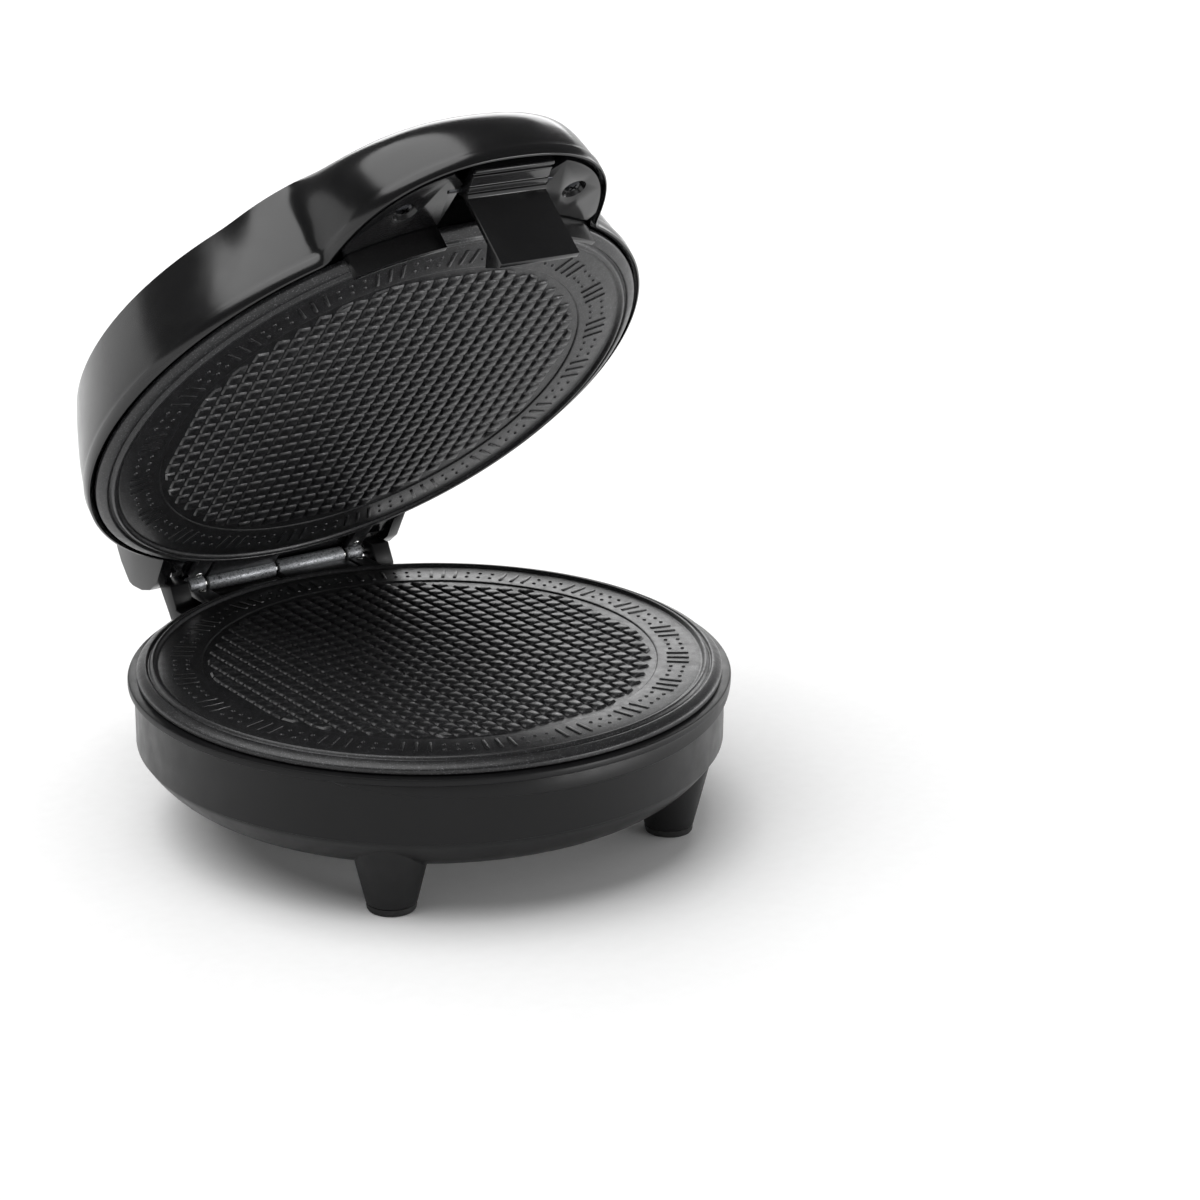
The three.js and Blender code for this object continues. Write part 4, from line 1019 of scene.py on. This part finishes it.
class APPLIANCE_OT_handle_frame(bpy.types.Operator):
    """Models the lid's inner frame: its ring, and the panel under the handle with its guard"""

    bl_idname = "appliance.handle_frame"
    bl_label = "Lid frame"

    def execute(self, context):
        ring = turned("frame_ring", [
            (88, 81.1), (109.6, 81.1), (109.6, 71.8), (109.9, FRAME_LOW), (111.7, FRAME_LOW),
            (112, 71.8), (112, 83.2), (111.7, FRAME_HIGH), (88.3, FRAME_HIGH), (88, 83.2),
        ], 144)
        settle(ring, "lid", "handle", "lid_frame")
        settle(self.panel(), "lid", "handle", "lid_frame")
        for way, side in ((1, "right"), (-1, "left")):
            screw = self.screw(way * HANDLE_SCREW[0], side)
            settle(screw, "lid", "dark_screw", "handle_screw_" + side)
        return {"FINISHED"}

    def outline(self, inner):
        """The panel's edge inside the handle, from its front round to a radius."""
        inset, count, half = 3.6, 48, PANEL_HALF_ANGLE
        angles = [half * (2 * step / count - 1) for step in range(count + 1)]
        front = [(handle_reach(a, LID_R) - inset, a) for a in angles]
        back = [(inner, a) for a in reversed(angles)]
        return [(r * math.sin(a), -r * math.cos(a)) for r, a in [*front, *back]]

    def window(self, low, high):
        """The opening for the latch, wider in front."""
        half, flare = WINDOW_HALF, 24.2
        right = [(half, -100), (half, -141.3), (flare, -147), (flare, -176)]
        return prism("window", [*right, *[(-x, y) for x, y in reversed(right)]], low, high)

    def panel(self):
        """The plate under the handle, stepped to the frame, with guard, latch opening and screw wells."""
        x, y = HANDLE_SCREW
        plate = prism("handle_panel", self.outline(118.5), PANEL_LOW, 73.6)
        step = prism("step", self.outline(110), FRAME_LOW, 73.8)
        plate = combined(plate, step, "UNION")
        guard = sector("guard", 115.4, 117.4, PANEL_HALF_ANGLE, 61, 72.5)
        plate = combined(plate, guard, "UNION")
        plate = combined(plate, self.window(58, 76), "DIFFERENCE")
        profile = [(0, 60), (5.0, 60), (5.0, 70.2), (4.3, 72.4), (0, 72.4)]
        for way in (1, -1):
            well = turned("well", profile, 40, centre=(way * x, y, 0))
            plate = combined(plate, well, "DIFFERENCE")
        plate = rounded(plate, sizes().moulded_edge / MM * 0.8, 2, 40)
        outline = [
            (-141, 70.6), (-133, 70.6), (-133, 75.6), (-134.4, 76.9), (-139.6, 76.9), (-141, 75.6),
        ]
        cheeks = []
        for low, high in ((WINDOW_HALF, 22.5), (-22.5, -WINDOW_HALF)):
            cheeks.append(rounded(prism("cheek", outline, low, high, "X"), 0.5, 2))
        return joined("handle_panel", [plate, *cheeks])

    def screw(self, x, side):
        """Pan head with a cross recess, and its shank."""
        y, tilt = HANDLE_SCREW[1], 0.35
        profile = [
            (0, 70.9), (1.6, 70.95), (2.6, 71.2), (3.2, 71.7), (3.3, 72.2), (3.3, 72.7), (1.7, 72.7),
            (1.7, 84.4), (0, 84.9),
        ]
        screw = turned("handle_screw_" + side + "_smooth", profile, 40, centre=(x, y, 0))
        for turn in (tilt, tilt + math.pi / 2):
            slot = block("slot", (3.8, 0.85, 1.5), (x, y, 71.2), turn)
            screw = combined(screw, slot, "DIFFERENCE")
        return screw


class APPLIANCE_OT_latch(bpy.types.Operator):
    """Models the latch: a sloping ribbed finger tab, a flap and a hook"""

    bl_idname = "appliance.latch"
    bl_label = "Latch"

    def execute(self, context):
        front, slope = Vector((-13.1, -1.7)), Vector((11.9, -3.8))
        down = Vector((slope.y, -slope.x)).normalized()
        # Share of the slope and drop below it: a roll in front, a ridge, two bands and three grooves
        ribs = [
            (0, -0.4), (0.01, 0.5), (0.05, 1.0), (0.11, 1.0), (0.15, 0.5), (0.17, -0.3), (0.22, -0.3),
            (0.24, 0.5), (0.29, 0.5), (0.31, 0.1), (0.58, 0), (0.6, -0.6), (0.64, -0.6), (0.66, 0),
            (0.8, 0), (0.82, -0.6), (0.87, -0.6), (0.89, 0.15),
        ]
        under = [tuple(front + slope * share + down * drop) for share, drop in ribs]
        tab = [
            (-13.1, 0.5), *under, (-1.6, -5.6), (-1.2, -6.0), (-1.2, -35), (1.2, -35), (8.6, -29.5),
            (1.2, -24.5), (1.2, -3.3), (3.4, 0), (2.4, 2.4), (0, 3.4), (-2.4, 2.4), (-3.4, 0.5),
        ]
        places = [tuple(LATCH_PIVOT + Vector(point)) for point in tab]
        latch = rounded(prism("latch_flap", places, -17, 17, "X"), 0.28, 2, 25)
        settle(latch, "latch", "handle", "latch")
        return {"FINISHED"}


class APPLIANCE_OT_lamps(bpy.types.Operator):
    """Models the two indicator lamps in the lid's top, with their lenses and bezels"""

    bl_idname = "appliance.lamps"
    bl_label = "Lamps"

    def execute(self, context):
        # Radius and drop below the lamp's top
        ring = [
            (3.9, 12), (3.9, 1.6), (5.2, 1.6), (5.2, 0.9), (4.9, 0.5), (4.2, 0.5), (4.0, 0.8), (4.0, 2),
            (3.4, 3), (3.4, 12),
        ]
        dome = [
            (0, 6), (3.3, 6), (3.3, 3), (3.95, 2), (3.95, 0.8), (3.6, 0.45), (2.6, 0.15), (1.3, 0.02),
            (0, 0),
        ]
        for way, role in ((1, "power"), (-1, "ready")):
            node, lens_name, top = role + "_lamp", role + "_lens", self.top(role + "_lamp")
            for name, profile, finish in ((node + "_bezel", ring, "lid"), (lens_name, dome, lens_name)):
                profile = [(radius, top - drop) for radius, drop in profile]
                centre = (way * LAMP_SIDE, LAMP_FORWARD, 0)
                settle(turned(name, profile, 48, centre=centre), "lid", finish, node)
        return {"FINISHED"}

    def top(self, node):
        """Highest point of the lamp's solid, closed, in millimetres."""
        back = PLACING["lid"].inverted()
        return max((back @ vertex.co).z for vertex in frame["nodes"][node].data.vertices)


class APPLIANCE_OT_cord_gland(bpy.types.Operator):
    """Models the cord's gland in the rear wall"""

    bl_idname = "appliance.cord_gland"
    bl_label = "Cord gland"

    def execute(self, context):
        profile = [
            (3.6, 111.4), (8.4, 111.4), (8.4, 112.6), (6.8, 112.6), (6.8, 116.3), (8.0, 116.3),
            (8.4, 116.7), (8.4, 117.4), (8.0, 118), (7.2, 118.25), (6.2, 118.3), (5.6, 117.9),
            (5.2, 117.9), (4.8, 118.3), (4.2, 118.3), (3.6, 117.7),
        ]
        gland = turned("cord_gland_smooth", profile, 56, "Y", (0, 0, GLAND_HEIGHT))
        settle(gland, "base", "leg", "cord_gland")
        return {"FINISHED"}


class APPLIANCE_OT_inner_parts(bpy.types.Operator):
    """Gives the parts inside, which keep their solids, their finishes"""

    bl_idname = "appliance.inner_parts"
    bl_label = "Inner parts"

    def execute(self, context):
        by_name = (
            ("element", "element"), ("heat_shield", "sheet"), ("thermostat_screw", "bright"),
            ("thermostat", "ceramic"), ("terminal_block", "ceramic"), ("fuse_clip", "sheet"),
            ("thermal_fuse", "bright"), ("screw", "bright"), ("latch_pin", "dark_screw"),
            ("pin", "bright"),
        )
        for name, node in frame["nodes"].items():
            if node.hide_render:
                continue
            finish = next((finish for word, finish in by_name if word in name), None)
            if finish is None:
                raise RuntimeError("no finish for " + name)
            dress(node, finish)
        return {"FINISHED"}


class APPLIANCE_OT_stage(bpy.types.Operator):
    """Lays the floor, hangs the lamps and sets the camera"""

    bl_idname = "appliance.stage"
    bl_label = "Stage"

    # Name, place and size in metres, and power of each softbox
    softboxes = (
        ("front_softbox", (1.1, -1.9, 0.2), (1.2, 0.7), 20.0),
        ("right_softbox", (2.1, -0.35, 0.35), (2.0, 0.6), 11.0),
        ("rear_softbox", (1.3, 1.9, 1.0), (1.6, 0.8), 13.0),
    )

    def execute(self, context):
        self.floor()
        self.backdrop()
        self.world(context.scene)
        self.sun("soft_sun", (-0.3, 0.18, 1.0), 2.7, 66)
        for softbox in self.softboxes:
            self.lamp(*softbox)
        bpy.ops.object.camera_add(
            location=(-0.621851, -0.986176, 0.492835),
            rotation=[math.radians(a) for a in (70.6049, -0.6387, -35.776)],
        )
        camera = context.object
        camera.name = "camera"
        camera.data.lens = 93.338
        camera.data.sensor_width = 36
        context.scene.camera = camera
        context.scene.view_settings.view_transform = "Standard"
        return {"FINISHED"}

    def floor(self):
        deselect()
        bpy.ops.mesh.primitive_circle_add(vertices=96, radius=STAGE_RADIUS, fill_type="NGON")
        tree, shader = surface("paper_white_matt")
        tone = self.paper(tree, 6, 3.0, 0.97, 0.99)
        feed(tree, shader, Base_Color=tone, Roughness=0.9, Specular_IOR_Level=0.1)
        self.hang("floor", "paper_white_matt")

    def backdrop(self):
        """A white wall far round the floor, seen from the lower views."""
        deselect()
        bpy.ops.mesh.primitive_cylinder_add(
            vertices=96, radius=STAGE_RADIUS, depth=WALL_HEIGHT, end_fill_type="NOTHING",
            location=(0, 0, WALL_HEIGHT / 2),
        )
        tree, shader = surface("paper_white_lit")
        tone = self.paper(tree, 400, 1.0, 0.99, 1.0)
        feed(tree, shader, Base_Color=(0, 0, 0, 1), Specular_IOR_Level=0)
        feed(tree, shader, Emission_Color=tone, Emission_Strength=1)
        self.hang("backdrop", "paper_white_lit")

    def paper(self, tree, size, detail, low, high):
        """A white that varies faintly between two levels."""
        level = spread(tree, noise(tree, size, detail), low, high)
        return add(tree, "CombineColor", {"Red": level, "Green": level, "Blue": level}).outputs[0]

    def hang(self, name, material):
        piece = named(name)
        piece.data.materials.append(bpy.data.materials[material])

    def world(self, scene):
        world = bpy.data.worlds.new("studio")
        world.use_nodes = True
        scene.world = world
        light = next(node for node in world.node_tree.nodes if node.type == "BACKGROUND")
        light.inputs["Color"].default_value = (1, 1, 1, 1)
        light.inputs["Strength"].default_value = 0.13

    def lamp(self, name, place, size, power):
        bpy.ops.object.light_add(type="AREA", location=place)
        lamp = bpy.context.object
        lamp.name = name
        lamp.data.shape = "RECTANGLE"
        lamp.data.size, lamp.data.size_y = size
        lamp.data.energy = power
        aim = Vector((0, 0, 0.12)) - Vector(place)
        lamp.rotation_euler = aim.to_track_quat("-Z", "Y").to_euler()

    def sun(self, name, place, power, degrees):
        bpy.ops.object.light_add(type="SUN", location=place)
        sun = bpy.context.object
        sun.name = name
        sun.data.energy = power
        sun.data.angle = math.radians(degrees)
        sun.rotation_euler = (-Vector(place)).to_track_quat("-Z", "Y").to_euler()


class APPLIANCE_PT_pieces(bpy.types.Panel):
    """Lists the pieces, sizes and colours in the sidebar"""

    bl_label = "Stroopwafel Maker"
    bl_space_type = "VIEW_3D"
    bl_region_type = "UI"
    bl_category = "Stroopwafel Maker"

    def draw(self, context):
        for step in STEPS:
            self.layout.operator(step.bl_idname)
        for group in (context.scene.appliance_sizes, context.scene.appliance_colours):
            for prop in group.__annotations__:
                self.layout.prop(group, prop)


STEPS = (
    APPLIANCE_OT_finishes,
    APPLIANCE_OT_stage,
    APPLIANCE_OT_lower_housing,
    APPLIANCE_OT_legs,
    APPLIANCE_OT_baking_plates,
    APPLIANCE_OT_plate_hinge,
    APPLIANCE_OT_lid_shell,
    APPLIANCE_OT_handle_frame,
    APPLIANCE_OT_latch,
    APPLIANCE_OT_lamps,
    APPLIANCE_OT_cord_gland,
    APPLIANCE_OT_inner_parts,
)
CLASSES = (ApplianceSizes, ApplianceColours, *STEPS, APPLIANCE_PT_pieces)


def register():
    for made in CLASSES:
        bpy.utils.register_class(made)
    bpy.types.Scene.appliance_sizes = PointerProperty(type=ApplianceSizes)
    bpy.types.Scene.appliance_colours = PointerProperty(type=ApplianceColours)


def unregister():
    del bpy.types.Scene.appliance_colours
    del bpy.types.Scene.appliance_sizes
    for made in reversed(CLASSES):
        bpy.utils.unregister_class(made)


def main():
    register()
    for step in STEPS:
        group, name = step.bl_idname.split(".")
        getattr(getattr(bpy.ops, group), name)()
    deselect()


if __name__ == "__main__":
    main()
